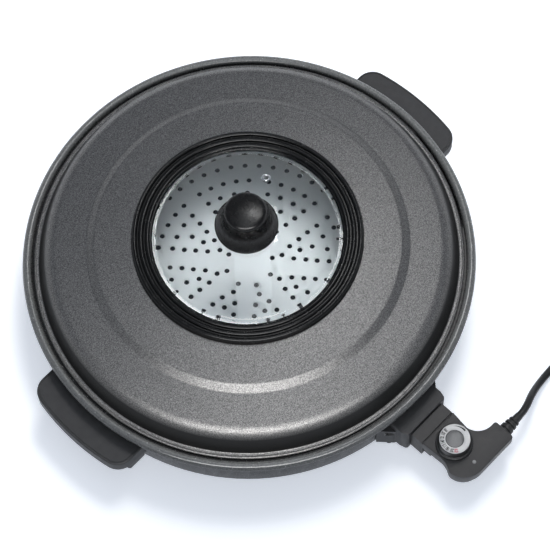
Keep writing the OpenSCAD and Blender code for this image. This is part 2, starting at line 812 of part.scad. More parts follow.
module knob_seal() {
    color([0.15, 0.15, 0.15])
    translate([0, 0, dome_top]) difference() {
        cylinder(r = 12, h = seal_t);
        translate([0, 0, -1]) cylinder(r = knob_screw_r + 0.5, h = seal_t + 2);
    }
}

module knob_washer() {
    color([0.75, 0.75, 0.77])
    translate([0, 0, washer_z]) difference() {
        cylinder(r = washer_r, h = 1.5);
        translate([0, 0, -1]) cylinder(r = knob_screw_r + 0.3, h = 4);
    }
}

module knob_screw() {
    head = washer_z;
    color([0.75, 0.75, 0.77])
    difference() {
        union() {
            translate([0, 0, head - 3]) cylinder(r = 4.6, h = 3);
            translate([0, 0, head]) cylinder(r = knob_screw_r, h = knob_z - head + 15);
        }
        translate([0, 0, head - 4]) cylinder(r = 2, h = 2.6, $fn = 6);
    }
}

// ---------------------------------------------------------------- thermostat

// Plan of the housing, drawn in by inset and at its front by another: straight flanks from
// the neck, a hollow bite under the cable's arm, a square arm, and a rounded heel
function housing_plan(inset, front) =
    let (half = neck_w / 2 - inset, end = -body_end + inset,
        cut = max(2.5 - 0.45 * inset, 0.3),
        bite = 17 + inset, bc = [neck_w / 2 + 14.6, -arm_y + 17],
        heel = 21 - inset, hc = [-3.5, -body_end + 21],
        hollow = 26 + inset, oc = [-neck_w / 2 - 25, dial_y])
    concat([[half, -body_y - front]],
        arc(bc, bite, 188, 268),
        [[arm_x - inset - cut, -arm_y - inset], [arm_x - inset, -arm_y - inset - cut],
            [arm_x - inset, end + cut], [arm_x - inset - cut, end]],
        arc(hc, heel, -90, -176),
        arc(oc, hollow, -22, 0, 5),
        [[-half, -body_y - front]]);

module housing_screw_places() {
    for (p = [[bolt_x, -bolt_y], [-bolt_x, -bolt_y], [arm_x - arm_bolt, -body_end + shell_bolt],
            [-heel_bolt, -body_end + 2 * shell_bolt - 1]])
        translate([p[0], p[1], 0]) children();
}

module housing_top() {
    rows = concat([[0, split_z]], soft_rows(1, body_top));
    color([0.22, 0.21, 0.22])
    difference() {
        union() {
            difference() {
                moulding([for (r = rows) housing_plan(r[0], r[0])], [for (r = rows) r[1]],
                    housing_middle);
                translate([0, 0, split_z - 1]) linear_extrude(body_top - split_z - shell_t + 1)
                    polygon(housing_plan(shell_t, shell_t));
            }
            housing_screw_places() translate([0, 0, split_z])
                cylinder(r = 3, h = body_top - split_z - 1);
        }
        housing_screw_places() translate([0, 0, split_z - 1]) cylinder(r = 1.25, h = 9);
        translate([dial_x, dial_y, body_top - 5]) cylinder(d = spindle_d + 2 * fit, h = 8);
        translate([lamp_x, lamp_y, body_top - 5]) cylinder(r = 1.8 + fit, h = 8);
        cable_hole();
        neck_hole();
    }
}

module cable_hole() {
    translate([arm_x - 6, -cable_y, cable_z]) rotate([0, 90, 0])
        cylinder(d = cable_d + 3 + 2 * fit, h = 10);
}

module neck_hole() {
    block([-nose_w / 2, -body_y - 8, plug_z - nose_h / 2],
        [nose_w / 2, -body_y + 1, plug_z + nose_h / 2 + 4]);
}

module housing_bottom() {
    // the lower shell stands in a little at the seam and tapers to a rounded underside
    rows = [[body_taper + 1.2, body_low], [body_taper + 0.3, body_low + 0.7],
        [body_taper - 0.1, body_low + 2], [seam, split_z]];
    room = [[body_taper, body_low + shell_t], [seam, split_z + 1]];
    color([0.18, 0.18, 0.19])
    difference() {
        union() {
            difference() {
                moulding([for (r = rows) housing_plan(r[0], 0)], [for (r = rows) r[1]],
                    housing_middle);
                moulding([for (r = room) housing_plan(r[0] + shell_t, shell_t)],
                    [for (r = room) r[1]], housing_middle);
            }
            housing_screw_places() translate([0, 0, body_low + 1])
                cylinder(r = 3, h = split_z - body_low - 1);
        }
        housing_screw_places() {
            translate([0, 0, body_low - 1]) cylinder(r = 1.45, h = 20);
            translate([0, 0, body_low - 1]) cylinder(r = 2.6, h = 5);
        }
        cable_hole();
        neck_hole();
    }
}

module housing_screws() {
    color([0.7, 0.7, 0.72])
    housing_screw_places() {
        translate([0, 0, body_low + 2]) cylinder(r = 2.5, h = 2);
        translate([0, 0, body_low + 4]) cylinder(r = 1.2, h = split_z - body_low + 3);
    }
}

module plug_neck() {
    tongue = 7.5;
    color([0.2, 0.2, 0.21])
    difference() {
        union() {
            block([-neck_w / 2, -body_y, neck_low], [neck_w / 2, -neck_y, neck_top]);
            block([-nose_w / 2, -neck_y, plug_z - nose_h / 2],
                [nose_w / 2, -nose_y, plug_z + nose_h / 2]);
            block([-nose_w / 2, -body_y - tongue, plug_z - nose_h / 2],
                [nose_w / 2, -body_y, plug_z + nose_h / 2 + 4]);
        }
        both_sides() along_y(pin_x, plug_z, terminal_r + fit, nose_y - 1, body_y + tongue + 1);
        along_y(0, plug_z, probe_d / 2 + fit, nose_y - 1, body_y + tongue + 1);
        // step across the top where the neck is held
        block([-neck_w / 2 - 1, -body_y + 1.4, neck_top - 1.2], [neck_w / 2 + 1, -body_y - 0.01, neck_top + 1]);
    }
}

module probe_tube() {
    color([0.75, 0.75, 0.76])
    translate([0, -probe_tip, plug_z]) rotate([90, 0, 0]) {
        cylinder(d = probe_d, h = body_y + 10 - probe_tip);
        translate([0, 0, -0.8]) cylinder(d1 = probe_d - 1.6, d2 = probe_d, h = 0.8);
    }
}

module female_terminals() {
    color([0.82, 0.68, 0.35])
    both_sides() difference() {
        along_y(pin_x, plug_z, terminal_r, nose_y + 1, terminal_end);
        along_y(pin_x, plug_z, pin_d / 2 + fit, nose_y, body_y + 2);
        block([pin_x - 0.5, -body_y + 6, plug_z], [pin_x + 0.5, -nose_y + 1, plug_z + 5]);
    }
}

module earth_clip() {
    color([0.82, 0.7, 0.4])
    translate([0, -body_y - 9, plug_z]) rotate([90, 0, 0]) difference() {
        union() {
            cylinder(d = probe_d + 1.6, h = 5);
            translate([-2.5, probe_d / 2, 0]) cube([5, 4, 5]);
        }
        translate([0, 0, -1]) cylinder(d = probe_d + 2 * fit, h = 7);
        // open side towards the housing's floor
        translate([-probe_d, -probe_d - 2.5, -1]) cube([2 * probe_d, probe_d, 7]);
    }
}

module thermostat_block() {
    color([0.9, 0.88, 0.82])
    difference() {
        block([-8, -body_y - 35.5, body_low + shell_t], [6, -body_y - 15, body_low + shell_t + 11]);
        block([-5.5, -body_y - 32.5, body_low + shell_t + 4], [3.5, -body_y - 18, body_low + shell_t + 12]);
    }
}

module bimetal_strip() {
    z = body_low + shell_t + 5;
    color([0.7, 0.66, 0.55]) block([-4.5, -body_y - 32.3, z], [-1.5, -body_y - 18.2, z + 0.8]);
}

module contact_blades() {
    z = body_low + shell_t + 8;
    color([0.82, 0.7, 0.4])
    for (s = [0, 1]) {
        block([-0.5, -body_y - 32.3, z + 2.2 * s], [3, -body_y - 18.2, z + 0.6 + 2.2 * s]);
        translate([1.2, -body_y - 21.5 - 2 * s, z + 0.6 + s * 1.1]) cylinder(r = 1.2, h = 0.5);
    }
}

module indicator_lens() {
    color([0.85, 0.85, 0.88])
    translate([lamp_x, lamp_y, 0]) {
        translate([0, 0, body_top - shell_t - 0.6]) cylinder(r = 1.8, h = shell_t + 1.1);
        translate([0, 0, body_top - shell_t - 1.6]) cylinder(r = 2.8, h = 1);
    }
}

module neon_lamp() {
    top = body_top - shell_t - 1.8;
    color([0.95, 0.6, 0.4, 0.6])
    translate([lamp_x, lamp_y, top - 9]) {
        cylinder(r = 2, h = 8);
        translate([0, 0, 8]) cylinder(r1 = 2, r2 = 0.8, h = 1);
    }
}

module cord_clamp() {
    z = body_low + shell_t;
    color([0.85, 0.85, 0.82])
    difference() {
        block([arm_x - 17, -cable_y - 4.4, z], [arm_x - 9, -cable_y + 4.4, cable_z + 6]);
        translate([arm_x - 18, -cable_y, cable_z]) rotate([0, 90, 0])
            cylinder(d = cable_d + 2 * fit, h = 12);
    }
}

module strain_relief() {
    neck = cable_d + 3;
    color([0.09, 0.09, 0.09])
    translate([0, -cable_y, cable_z]) rotate([0, 90, 0]) difference() {
        union() {
            translate([0, 0, arm_x - 4]) cylinder(d = neck, h = 4);
            translate([0, 0, arm_x]) cylinder(d1 = neck + 1, d2 = cable_d + 1.6, h = relief_len);
            for (k = [0:2]) translate([0, 0, arm_x + 5 + k * 6.5])
                cylinder(d1 = neck + 2.6 - k * 0.7, d2 = neck + 2 - k * 0.7, h = 3);
        }
        translate([0, 0, arm_x - 6]) cylinder(d = cable_d + 2 * fit, h = relief_len + 5.5);
    }
}

module dial_knob() {
    top = body_top + dial_h;
    foot = body_top + gap;
    color([0.13, 0.13, 0.13])
    translate([dial_x, dial_y, 0]) difference() {
        rotate_extrude($fn = 96) polygon([
            [0, top - 0.8], [0, foot], [dial_d / 2, foot], [dial_d / 2, foot + skirt_h - 1],
            [dial_d / 2 - 0.8, foot + skirt_h], [dial_d / 2 - 1.9, foot + skirt_h],
            [face_d / 2 + 0.3, top - 1], [face_d / 2 - 0.2, top - 0.4],
            [face_d / 2 - 0.2, top - 0.8]]);
        translate([0, 0, foot - 1]) cylinder(d = spindle_d + 2 * fit, h = 8);
    }
}

module dial_face() {
    top = body_top + dial_h;
    color([0.8, 0.8, 0.82])
    translate([dial_x, dial_y, top - 0.8]) difference() {
        cylinder(d = face_d - 0.6, h = 0.8, $fn = 96);
        translate([0, 0, -1]) cylinder(d = face_d * 0.58, h = 3);
    }
}

module dial_spindle() {
    low = body_low + shell_t + 14;
    color([0.75, 0.75, 0.77])
    translate([dial_x, dial_y, 0]) {
        translate([0, 0, low + 3]) cylinder(d = spindle_d, h = body_top + 7 - low - 3);
        // cam that presses the contact blades
        translate([0.8, 0, low]) cylinder(r = 5, h = 3);
    }
}

// ---------------------------------------------------------------- mains lead

module cord_lead() { color([0.08, 0.08, 0.08]) cable(lead_route, cable_d); }

module cord_tail() { color([0.08, 0.08, 0.08]) cable(tail_route, cable_d); }

module cord_coil() {
    low = coil_mid - coil_rows * cable_d / 2;
    high = coil_mid + coil_rows * cable_d / 2;
    tall = coil_layers * cable_d;
    r = cable_d / 2;
    color([0.08, 0.08, 0.08])
    translate([coil_at[0], coil_at[1], 0]) rotate_extrude($fn = 64) polygon(concat(
        arc([low + r, r], r, 180, 270, 3), arc([high - r, r], r, 270, 360, 3),
        arc([high - r, tall - r], r, 0, 90, 3), arc([low + r, tall - r], r, 90, 180, 3)));
}

module coil_tie() {
    low = sqrt(pow(coil_mid - coil_rows * cable_d / 2, 2) - 25) - gap;
    high = coil_mid + coil_rows * cable_d / 2 + gap;
    tall = coil_layers * cable_d + gap;
    color([0.05, 0.05, 0.05])
    translate([coil_at[0] + 5, coil_at[1], 0]) rotate([90, 0, -90]) linear_extrude(10)
        difference() {
            translate([low - 1, 0]) square([high - low + 2, tall + 1]);
            translate([low, -1]) square([high - low, tall + 1]);
        }
}

module plug_body() {
    color([0.1, 0.1, 0.1])
    translate([plug_x, plug_y, plug_axis]) rotate([0, 90, 0]) difference() {
        union() {
            cylinder(d1 = cable_d + 2.6, d2 = cable_d + 6, h = plug_boot);
            translate([0, 0, plug_boot]) cylinder(r1 = 9, r2 = plug_r - 2, h = 8);
            translate([0, 0, plug_boot + 8]) cylinder(r = plug_r - 2, h = 10);
            translate([0, 0, plug_boot + 18]) cylinder(r1 = plug_r - 2, r2 = plug_r, h = 3);
            translate([0, 0, plug_boot + 21]) cylinder(r = plug_r, h = plug_grip - 21);
        }
        for (s = [-1, 1]) {
            translate([0, s * prong_pitch / 2, plug_boot + plug_grip - 14])
                cylinder(d = prong_root_d + 2 * fit, h = 15);
            translate([s * plug_r - 1.5, -3.5, plug_boot + plug_grip - 12]) cube([3, 7, 13]);
        }
    }
}

module plug_pins() {
    shoulder = 0.5;
    color([0.8, 0.8, 0.82])
    for (s = [-1, 1]) translate([plug_face, plug_y + s * prong_pitch / 2, plug_axis])
        rotate([0, 90, 0]) {
            translate([0, 0, -13.9]) cylinder(d = prong_root_d, h = 13.9 + shoulder);
            translate([0, 0, shoulder]) cylinder(d = prong_d, h = prong_len - shoulder);
            translate([0, 0, prong_len]) cylinder(d1 = prong_d, d2 = prong_d - 2, h = 2);
        }
}

module plug_earth_clips() {
    color([0.8, 0.8, 0.82])
    for (s = [-1, 1])
        translate([plug_face - 11.8, plug_y - 3, plug_axis + s * (plug_r - 0.9) - 0.5])
        cube([11, 6, 1]);
}

pan_body();
heating_element();
terminal_insulators();
terminal_pins();
left_handle();
right_handle();
handle_screws();
handle_feet();
socket_guard();
guard_screws();
guard_feet();
steam_plate();
plate_stand();
lid_shell();
glass_disc();
silicone_ring();
vent_eyelet();
knob();
knob_insert();
knob_seal();
knob_washer();
knob_screw();
housing_top();
housing_bottom();
plug_neck();
probe_tube();
female_terminals();
earth_clip();
thermostat_block();
bimetal_strip();
contact_blades();
indicator_lens();
neon_lamp();
housing_screws();
cord_clamp();
strain_relief();
dial_knob();
dial_face();
dial_spindle();
cord_lead();
cord_coil();
cord_tail();
coil_tie();
plug_body();
plug_pins();
plug_earth_clips();
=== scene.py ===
# %% [markdown]
# # A round electric skillet
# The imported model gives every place, size and joint. This script dresses it: the pieces that
# are seen get their fine shape here, and every piece gets its finish. Lengths are written in
# millimetres, as on a drawing, and turned into metres when a mesh is made.

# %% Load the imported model
import json

import bmesh
import bpy
import numpy as np
from mathutils import Matrix, Vector

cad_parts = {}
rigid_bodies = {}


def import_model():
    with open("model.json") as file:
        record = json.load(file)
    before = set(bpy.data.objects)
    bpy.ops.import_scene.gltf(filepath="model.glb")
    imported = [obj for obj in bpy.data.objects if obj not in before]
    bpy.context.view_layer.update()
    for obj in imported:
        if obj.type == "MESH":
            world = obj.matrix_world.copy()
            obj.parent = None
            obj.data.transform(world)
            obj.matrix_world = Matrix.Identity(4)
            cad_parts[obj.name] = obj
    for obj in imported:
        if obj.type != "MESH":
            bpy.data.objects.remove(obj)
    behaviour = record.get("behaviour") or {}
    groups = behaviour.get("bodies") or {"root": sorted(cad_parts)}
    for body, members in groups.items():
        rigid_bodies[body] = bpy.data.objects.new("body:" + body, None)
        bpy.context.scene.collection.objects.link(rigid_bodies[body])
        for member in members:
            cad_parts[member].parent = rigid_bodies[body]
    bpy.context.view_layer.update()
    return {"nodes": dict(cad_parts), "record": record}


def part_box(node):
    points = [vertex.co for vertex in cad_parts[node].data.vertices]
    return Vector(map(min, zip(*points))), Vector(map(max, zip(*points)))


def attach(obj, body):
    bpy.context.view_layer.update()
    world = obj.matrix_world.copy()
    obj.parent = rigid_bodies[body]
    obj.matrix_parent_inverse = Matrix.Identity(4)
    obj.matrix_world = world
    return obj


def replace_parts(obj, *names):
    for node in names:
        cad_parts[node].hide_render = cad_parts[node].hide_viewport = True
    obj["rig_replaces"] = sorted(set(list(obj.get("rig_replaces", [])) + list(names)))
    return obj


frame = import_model()
MM = 0.001
BODY_OF = {node: body for body, nodes in frame["record"]["behaviour"]["bodies"].items()
           for node in nodes}
SLOT_OF = {part["node"]: part["material_slot"] for part in frame["record"]["subparts"]}


def span(node):
    """Lowest and highest corner of a node's box, in mm."""
    return [np.array(corner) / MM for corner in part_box(node)]


def unit(vectors):
    """Vectors made one long: each divided by its length."""
    return vectors / np.linalg.norm(vectors, axis=-1, keepdims=True)


# %% [markdown]
# ## Camera
# The view looks steeply down on the lid, a little turned and a little rolled. A long lens
# keeps the round lid's ellipse even, so the camera stands about two metres away. It could be
# moved about by hand until the skillet sits well. Here the ray through one picture point is
# aimed at a point on the skillet's axis instead, so that a few numbers fix the place.

# %% Camera
PICTURE_PX = 550
FOCAL_PX = 2300
SENSOR_MM = 36
VIEW_TURN, VIEW_HEIGHT, VIEW_ROLL = np.radians([-43.65, 66.47, -3.0])
AIM_POINT = np.array([0, 0, 60.0])
AIM_PX = np.array([248.92, 255.71])
AIM_DISTANCE = 2131.4


def view_axes(turn, height, roll):
    """Right, up and back of a camera that looks down at an angle, rolled about its axis."""
    back = np.array([np.sin(turn) * np.cos(height), -np.cos(turn) * np.cos(height), np.sin(height)])
    right = np.array([np.cos(turn), np.sin(turn), 0])
    up = np.cross(back, right)
    return (right * np.cos(roll) + up * np.sin(roll),
            up * np.cos(roll) - right * np.sin(roll), back)


right, up, back = view_axes(VIEW_TURN, VIEW_HEIGHT, VIEW_ROLL)
off_axis = (AIM_PX - PICTURE_PX / 2) / FOCAL_PX
ray = right * off_axis[0] - up * off_axis[1] - back
stand = AIM_POINT - unit(ray) * AIM_DISTANCE
camera_data = bpy.data.cameras.new("camera")
camera_data.sensor_width = SENSOR_MM
camera_data.lens = FOCAL_PX / PICTURE_PX * SENSOR_MM
camera = bpy.data.objects.new("camera", camera_data)
axes = Matrix([right, up, back]).transposed().to_4x4()
camera.matrix_world = Matrix.Translation(Vector(stand * MM)) @ axes
bpy.context.scene.collection.objects.link(camera)
bpy.context.scene.camera = camera
print("camera stands at", np.round(stand), "mm")

# %% [markdown]
# ## Skins from numbers
# Nearly every piece is a grid of points: rows that follow a profile or a height, columns
# that go round. Neighbouring points make a four-sided face, so a whole skin needs only index
# arithmetic. Where a row shrinks to one point its doubles are merged, which closes the pole.
# The Screw modifier also spins a profile, but it can't follow a cord or draw an outline in,
# and a grid does all three.

# %% Skins
def skin(grid, ring=True, loop=False, caps=(False, False)):
    """Points and faces of a grid (rows, columns, 3) in mm. ring joins the last column to the
    first, loop joins the last row to the first, and caps close the first and last row."""
    rows, columns = grid.shape[:2]
    index = np.arange(rows * columns).reshape(rows, columns)
    if ring:
        index = np.concatenate([index, index[:, :1]], axis=1)
    if loop:
        index = np.concatenate([index, index[:1]], axis=0)
    quads = np.stack([index[:-1, :-1], index[:-1, 1:], index[1:, 1:], index[1:, :-1]], axis=-1)
    faces = quads.reshape(-1, 4).tolist()
    if caps[0]:
        faces.append(index[0, :columns][::-1].tolist())
    if caps[1]:
        faces.append(index[-1, :columns].tolist())
    return grid.reshape(-1, 3), faces


def join(skins):
    """One list of points and one of faces from several skins, each face moved past the
    points that come before it."""
    points, faces, start = [], [], 0
    for some_points, some_faces in skins:
        points.append(some_points)
        faces += [[start + i for i in face] for face in some_faces]
        start += len(some_points)
    return np.concatenate(points), faces


def piece(name, skins, finish, like, replaces=None, sharp=40):
    """A mesh object from skins in mm: doubles merged, faces turned outwards, flat caps cut
    into triangles, edges sharper than an angle kept crisp. It moves with the node it is
    like, wears the finish it is given, and stands in for the replaced nodes, or else for that one."""
    points, faces = join(skins)
    mesh = bpy.data.meshes.new(name)
    mesh.from_pydata(points * MM, [], faces)
    work = bmesh.new()
    work.from_mesh(mesh)
    bmesh.ops.remove_doubles(work, verts=work.verts, dist=1e-6)
    bmesh.ops.triangulate(work, faces=[f for f in work.faces if len(f.verts) > 4])
    bmesh.ops.recalc_face_normals(work, faces=work.faces)
    work.to_mesh(mesh)
    work.free()
    mesh.shade_smooth()
    mesh.set_sharp_from_angle(angle=np.radians(sharp))
    mesh.materials.append(finish.material)
    made = bpy.data.objects.new(name, mesh)
    bpy.context.scene.collection.objects.link(made)
    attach(made, BODY_OF[like])
    replaces = [like] if replaces is None else replaces
    if replaces:
        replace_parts(made, *replaces)
    print(f"{name}: {len(mesh.polygons)} faces")
    return made


# %% [markdown]
# ## Profiles
# A designer draws a profile as straight lines with a radius at each corner. `rounded` turns
# such a list into points, and `turned` or `along_x` spins it about an axis. A Bevel modifier
# would round the corners too, but a corner of the drawing then can't keep a radius of its own.

# %% Profiles and revolves
def arc(centre, radius, start, end, steps=8):
    """Points at a constant radius from a centre, from one angle to another in degrees."""
    angle = np.radians(np.linspace(start, end, steps + 1))
    return np.stack([centre[0] + radius * np.cos(angle), centre[1] + radius * np.sin(angle)], -1)


def rounded(corners, closed=False, steps=5):
    """Points of an outline of (a, b, radius) corners. The arc at a corner touches both sides
    at radius / tan(half the corner's angle), and its centre lies on the bisector."""
    spots = np.array([c[:2] for c in corners], float)
    radii = [c[2] if len(c) > 2 else 0 for c in corners]
    points = []
    for i, (spot, radius) in enumerate(zip(spots, radii)):
        if radius <= 0 or (not closed and i in (0, len(spots) - 1)):
            points.append(spot)
            continue
        before = unit(spots[i - 1] - spot)
        after = unit(spots[(i + 1) % len(spots)] - spot)
        half = np.arccos(np.clip(before @ after, -1, 1)) / 2
        centre = spot + unit(before + after) * radius / np.sin(half)
        first = spot + before * radius / np.tan(half) - centre
        last = spot + after * radius / np.tan(half) - centre
        share = np.linspace(0, 1, steps + 1)[:, None]
        points += list(centre + unit(first * (1 - share) + last * share) * radius)
    return np.array(points)


def turned(profile, count=256):
    """A profile of (radius, height) points spun about the upright axis."""
    angle = np.linspace(0, 2 * np.pi, count, endpoint=False)
    r, z = profile[:, :1], profile[:, 1:]
    return np.stack([r * np.cos(angle), r * np.sin(angle), z + 0 * angle], -1)


def along_x(profile, start, count=48):
    """A profile of (distance, radius) points spun about a line that leaves start along +X."""
    angle = np.linspace(0, 2 * np.pi, count, endpoint=False)
    x, r = profile[:, :1], profile[:, 1:]
    return np.stack([start[0] + x + 0 * angle, start[1] + r * np.cos(angle),
                     start[2] + r * np.sin(angle)], -1)


# %% [markdown]
# ## Mouldings
# A moulding is an outline carried up through several heights, drawn in a little at each so
# that its edges are soft. A smaller copy of the outline won't do, since scaling draws the ends
# of a long plan in further than its sides. The step inwards at a point must move both of its
# sides by the same amount, so it is longer at a corner than along a side.

# %% Mouldings
def inward(outline):
    """For each point of a closed outline, the step that moves both of its sides in by one:
    the sum of their inward normals divided by one plus their product."""
    after = np.roll(outline, -1, 0)
    side = unit(after - outline)
    area = np.sum(outline[:, 0] * after[:, 1] - after[:, 0] * outline[:, 1])
    normal = np.stack([-side[:, 1], side[:, 0]], -1) * np.sign(area)
    last = np.roll(normal, 1, 0)
    return (normal + last) / (1 + np.sum(normal * last, 1, keepdims=True))


def drawn_in(outline, levels):
    """Rows of an outline: one for each (inset, height), moved along the inward steps."""
    inset, height = np.array(levels, float).T
    flat = outline[None] + inward(outline)[None] * inset[:, None, None]
    return np.concatenate([flat, np.broadcast_to(height[:, None, None], (*flat.shape[:2], 1))], -1)


def soft_edge(radius, height, inset=0.0, steps=4):
    """Levels that round an upper edge: a quarter circle from the side onto the top."""
    angle = np.radians(np.linspace(0, 90, steps + 1))
    return [(inset + radius * (1 - np.cos(a)), height - radius * (1 - np.sin(a))) for a in angle]


# %% [markdown]
# ## A shader as arithmetic
# A finish is a small sum: mottling plus flecks, a height for the bump. Linked by hand, it gets
# lost among the nodes. Wrapping a socket in a class with the usual operators lets the sum be
# written as such, and each operator adds the Math node behind it. One method makes every
# other node.

# %% Shader helpers
class Wire:
    """An output socket that adds Math nodes when it takes part in an expression."""

    def __init__(self, nodes, socket):
        self.nodes, self.socket = nodes, socket

    def math(self, operation, *others):
        """One Math node with this wire first."""
        return self.nodes.node("ShaderNodeMath", {"operation": operation},
                               dict(enumerate((self, *others))))

    def __add__(self, other):
        return self.math("ADD", other)

    def __sub__(self, other):
        return self.math("SUBTRACT", other)

    def __mul__(self, other):
        return self.math("MULTIPLY", other)

    def __rsub__(self, other):
        return self * -1 + other

    __radd__, __rmul__ = __add__, __mul__

    def between(self, low, high):
        """0 below low, 1 above high, and a straight climb from one to the other."""
        return self.nodes.node("ShaderNodeMapRange", {"clamp": True},
                               {"Value": self, "From Min": low, "From Max": high})


class Nodes:
    """A node tree that is filled with short calls."""

    def __init__(self, tree):
        self.tree = tree
        tree.nodes.clear()

    def put(self, socket, value):
        """Gives a socket a link, a number or a colour."""
        value = value.socket if isinstance(value, Wire) else value
        if isinstance(value, bpy.types.NodeSocket):
            self.tree.links.new(value, socket)
        elif socket.type == "RGBA":
            socket.default_value = (*value, 1)
        else:
            socket.default_value = value

    def node(self, kind, settings=None, inputs=None, output=0):
        """A node of one kind: its settings first, then its sockets, and one output as a wire."""
        made = self.tree.nodes.new(kind)
        for key, value in (settings or {}).items():
            setattr(made, key, value)
        for key, value in (inputs or {}).items():
            self.put(made.inputs[key], value)
        return Wire(self, made.outputs[output]) if made.outputs else None

    def mix(self, share, first, second):
        """A colour between two colours."""
        return self.node("ShaderNodeMix", {"data_type": "RGBA"},
                         {"Factor": share, 6: first, 7: second}, 2)


def grey(value, tint=(1, 1, 1)):
    """A linear colour from an sRGB grey value of 0 to 255 and a tint."""
    share = value / 255
    level = share / 12.92 if share < 0.04045 else ((share + 0.055) / 1.055) ** 2.4
    return tuple(level * t for t in tint)


# %% [markdown]
# A finish has one Principled shader, and its textures read the object's own coordinates, so
# that they stay on the piece when it moves. `plastic` and `metal` are the two everyday ones:
# a moulded plastic is never quite one colour and has the fine grain of its tool, and a bare
# metal keeps its colour while its shine wanders with rolling and handling.

# %% Finishes
class Finish(Nodes):
    """A material under construction, with one Principled shader."""

    def __init__(self, name, **plain):
        self.material = bpy.data.materials.new(name)
        self.material.use_nodes = True
        super().__init__(self.material.node_tree)
        self.shader = self.tree.nodes.new("ShaderNodeBsdfPrincipled")
        output = self.tree.nodes.new("ShaderNodeOutputMaterial")
        self.tree.links.new(self.shader.outputs[0], output.inputs[0])
        self.place = self.tree.nodes.new("ShaderNodeTexCoord").outputs["Object"]
        self.set(**plain)

    def set(self, **values):
        """Sets the shader's own sockets, named with underscores for spaces."""
        for key, value in values.items():
            self.put(self.shader.inputs[key.replace("_", " ")], value)
        return self

    def noise(self, scale, detail=3, stretch=(1, 1, 1)):
        """Soft noise with a number of features per metre, stretched along the axes."""
        place = self.node("ShaderNodeVectorMath", {"operation": "MULTIPLY"},
                          {0: self.place, 1: stretch})
        return self.node("ShaderNodeTexNoise", {},
                         {"Vector": place, "Scale": scale, "Detail": detail})

    def cells(self, scale, output=0):
        """Cells scattered at a number per metre: distance from the middle, or a colour."""
        return self.node("ShaderNodeTexVoronoi", {}, {"Vector": self.place, "Scale": scale}, output)

    def bump(self, height, relief):
        """A normal from a height, with a relief in mm."""
        return self.node("ShaderNodeBump", {}, {"Height": height, "Distance": relief * MM})


def plastic(name, level, tint=(1, 1, 1), roughness=0.45, grain=2200, relief=0.05, **plain):
    """A moulded plastic of an sRGB level, a little cloudy in colour and shine, with grain."""
    made = Finish(name, **plain)
    cloud = made.noise(140, 4).between(0.3, 0.7)
    return made.set(Base_Color=made.mix(cloud, grey(level - 4, tint), grey(level + 4, tint)),
                    Roughness=cloud * 0.1 + (roughness - 0.05),
                    Normal=made.bump(made.noise(grain, 2), relief))


def metal(name, colour, roughness, scale=220, stretch=(1, 1, 1), relief=0.01):
    """A bare metal: its roughness wanders by a third, and faint marks follow its rolling."""
    made = Finish(name, Base_Color=colour, Metallic=1.0)
    marks = made.noise(scale, 4, stretch)
    return made.set(Roughness=marks.between(0.3, 0.7) * roughness * 0.35 + roughness * 0.82,
                    Normal=made.bump(marks, relief))


# %% [markdown]
# ## The mains lead
# A flexible lead, seven millimetres thick, is extruded in PVC. Here it leaves the thermostat,
# sinks to the table, lies in a flat coil of five turns in two layers, and runs on to its
# plug. Each turn keeps one radius except where it steps aside to the next row, as a lead
# wound by hand does, and each step is long enough that the lead never bends sharply. A curve
# with a round section would draw it too. A path of points is used, which also fixes its
# length and its course.

# %% Lead and coil
CABLE_R = 3.5
TURN_R, TURNS = 45, 5
STEPS_IN, CLIMB, STEPS_OUT = ((240, 360), (600, 720)), (860, 990), ((1130, 1250), (1490, 1610))
LIE = CABLE_R + 0.05
relief_box, coil_box, plug_box = span("strain_relief"), span("cord_coil"), span("plug_body")
exit_at = np.array([relief_box[1][0], *(sum(relief_box) / 2)[1:]])
coil_at = sum(coil_box) / 2
plug_at = np.array([plug_box[0][0], *(sum(plug_box) / 2)[1:]])
LEAD = exit_at + [(0, 0, 0), (1.5, 0, 0), (6.5, 0.4, -0.3), (13.5, 2.2, -1.8), (20.5, 4.8, -5.2),
                  (27.5, 7.2, -9.6), (35.5, 9.4, -14.4), (43.5, 11, -18.6), (51.5, 12.1, -21.5),
                  (60.5, 12.8, -23.05), (69.5, 13, -23.45), (79.5, 13, -23.45), (89.5, 13, -23.45),
                  (98.5, 13, -23.45)]
TAIL = plug_at - [(50, 0, 7.9), (40, 0, 7.8), (31, 0, 6.5), (22, 0, 4.2), (14, 0, 1.9),
                  (7, 0, 0.3), (2, 0, 0), (0, 0, 0)]


def through(points, steps=6):
    """A smooth line through points: between two of them the cubic whose slope at each is half
    the step from its neighbour before to its neighbour after."""
    p = np.concatenate([[2 * points[0] - points[1]], points, [2 * points[-1] - points[-2]]])
    a, b, c, d = (p[i:len(p) - 3 + i, None] for i in range(4))
    t = np.linspace(0, 1, steps, endpoint=False)[None, :, None]
    curve = (2 * b + (c - a) * t + (2 * a - 5 * b + 4 * c - d) * t ** 2
             + (3 * b - a - 3 * c + d) * t ** 3) / 2
    return np.concatenate([curve.reshape(-1, 3), p[-2:-1]])


def ease(value, start, end):
    """0 before start, 1 after end, and 3s^2 - 2s^3 between."""
    s = np.clip((value - start) / (end - start), 0, 1)
    return s * s * (3 - 2 * s)


def coil(per_turn=64):
    """The coil's line: clockwise from the top, stepping in twice by a cable in the lower
    layer, a climb of a cable at the inner row, then out again twice in the upper layer."""
    turn = np.linspace(0, 360 * TURNS, TURNS * per_turn + 1)
    rows_in = sum(ease(turn, *step) for step in STEPS_IN)
    rows_out = sum(ease(turn, *step) for step in STEPS_OUT)
    radius = TURN_R - 2 * CABLE_R * (rows_in - rows_out)
    angle = np.radians(90 - turn)
    height = LIE + (2 * CABLE_R + 0.05) * ease(turn, *CLIMB)
    return np.stack([coil_at[0] + radius * np.cos(angle), coil_at[1] + radius * np.sin(angle),
                     height], -1)


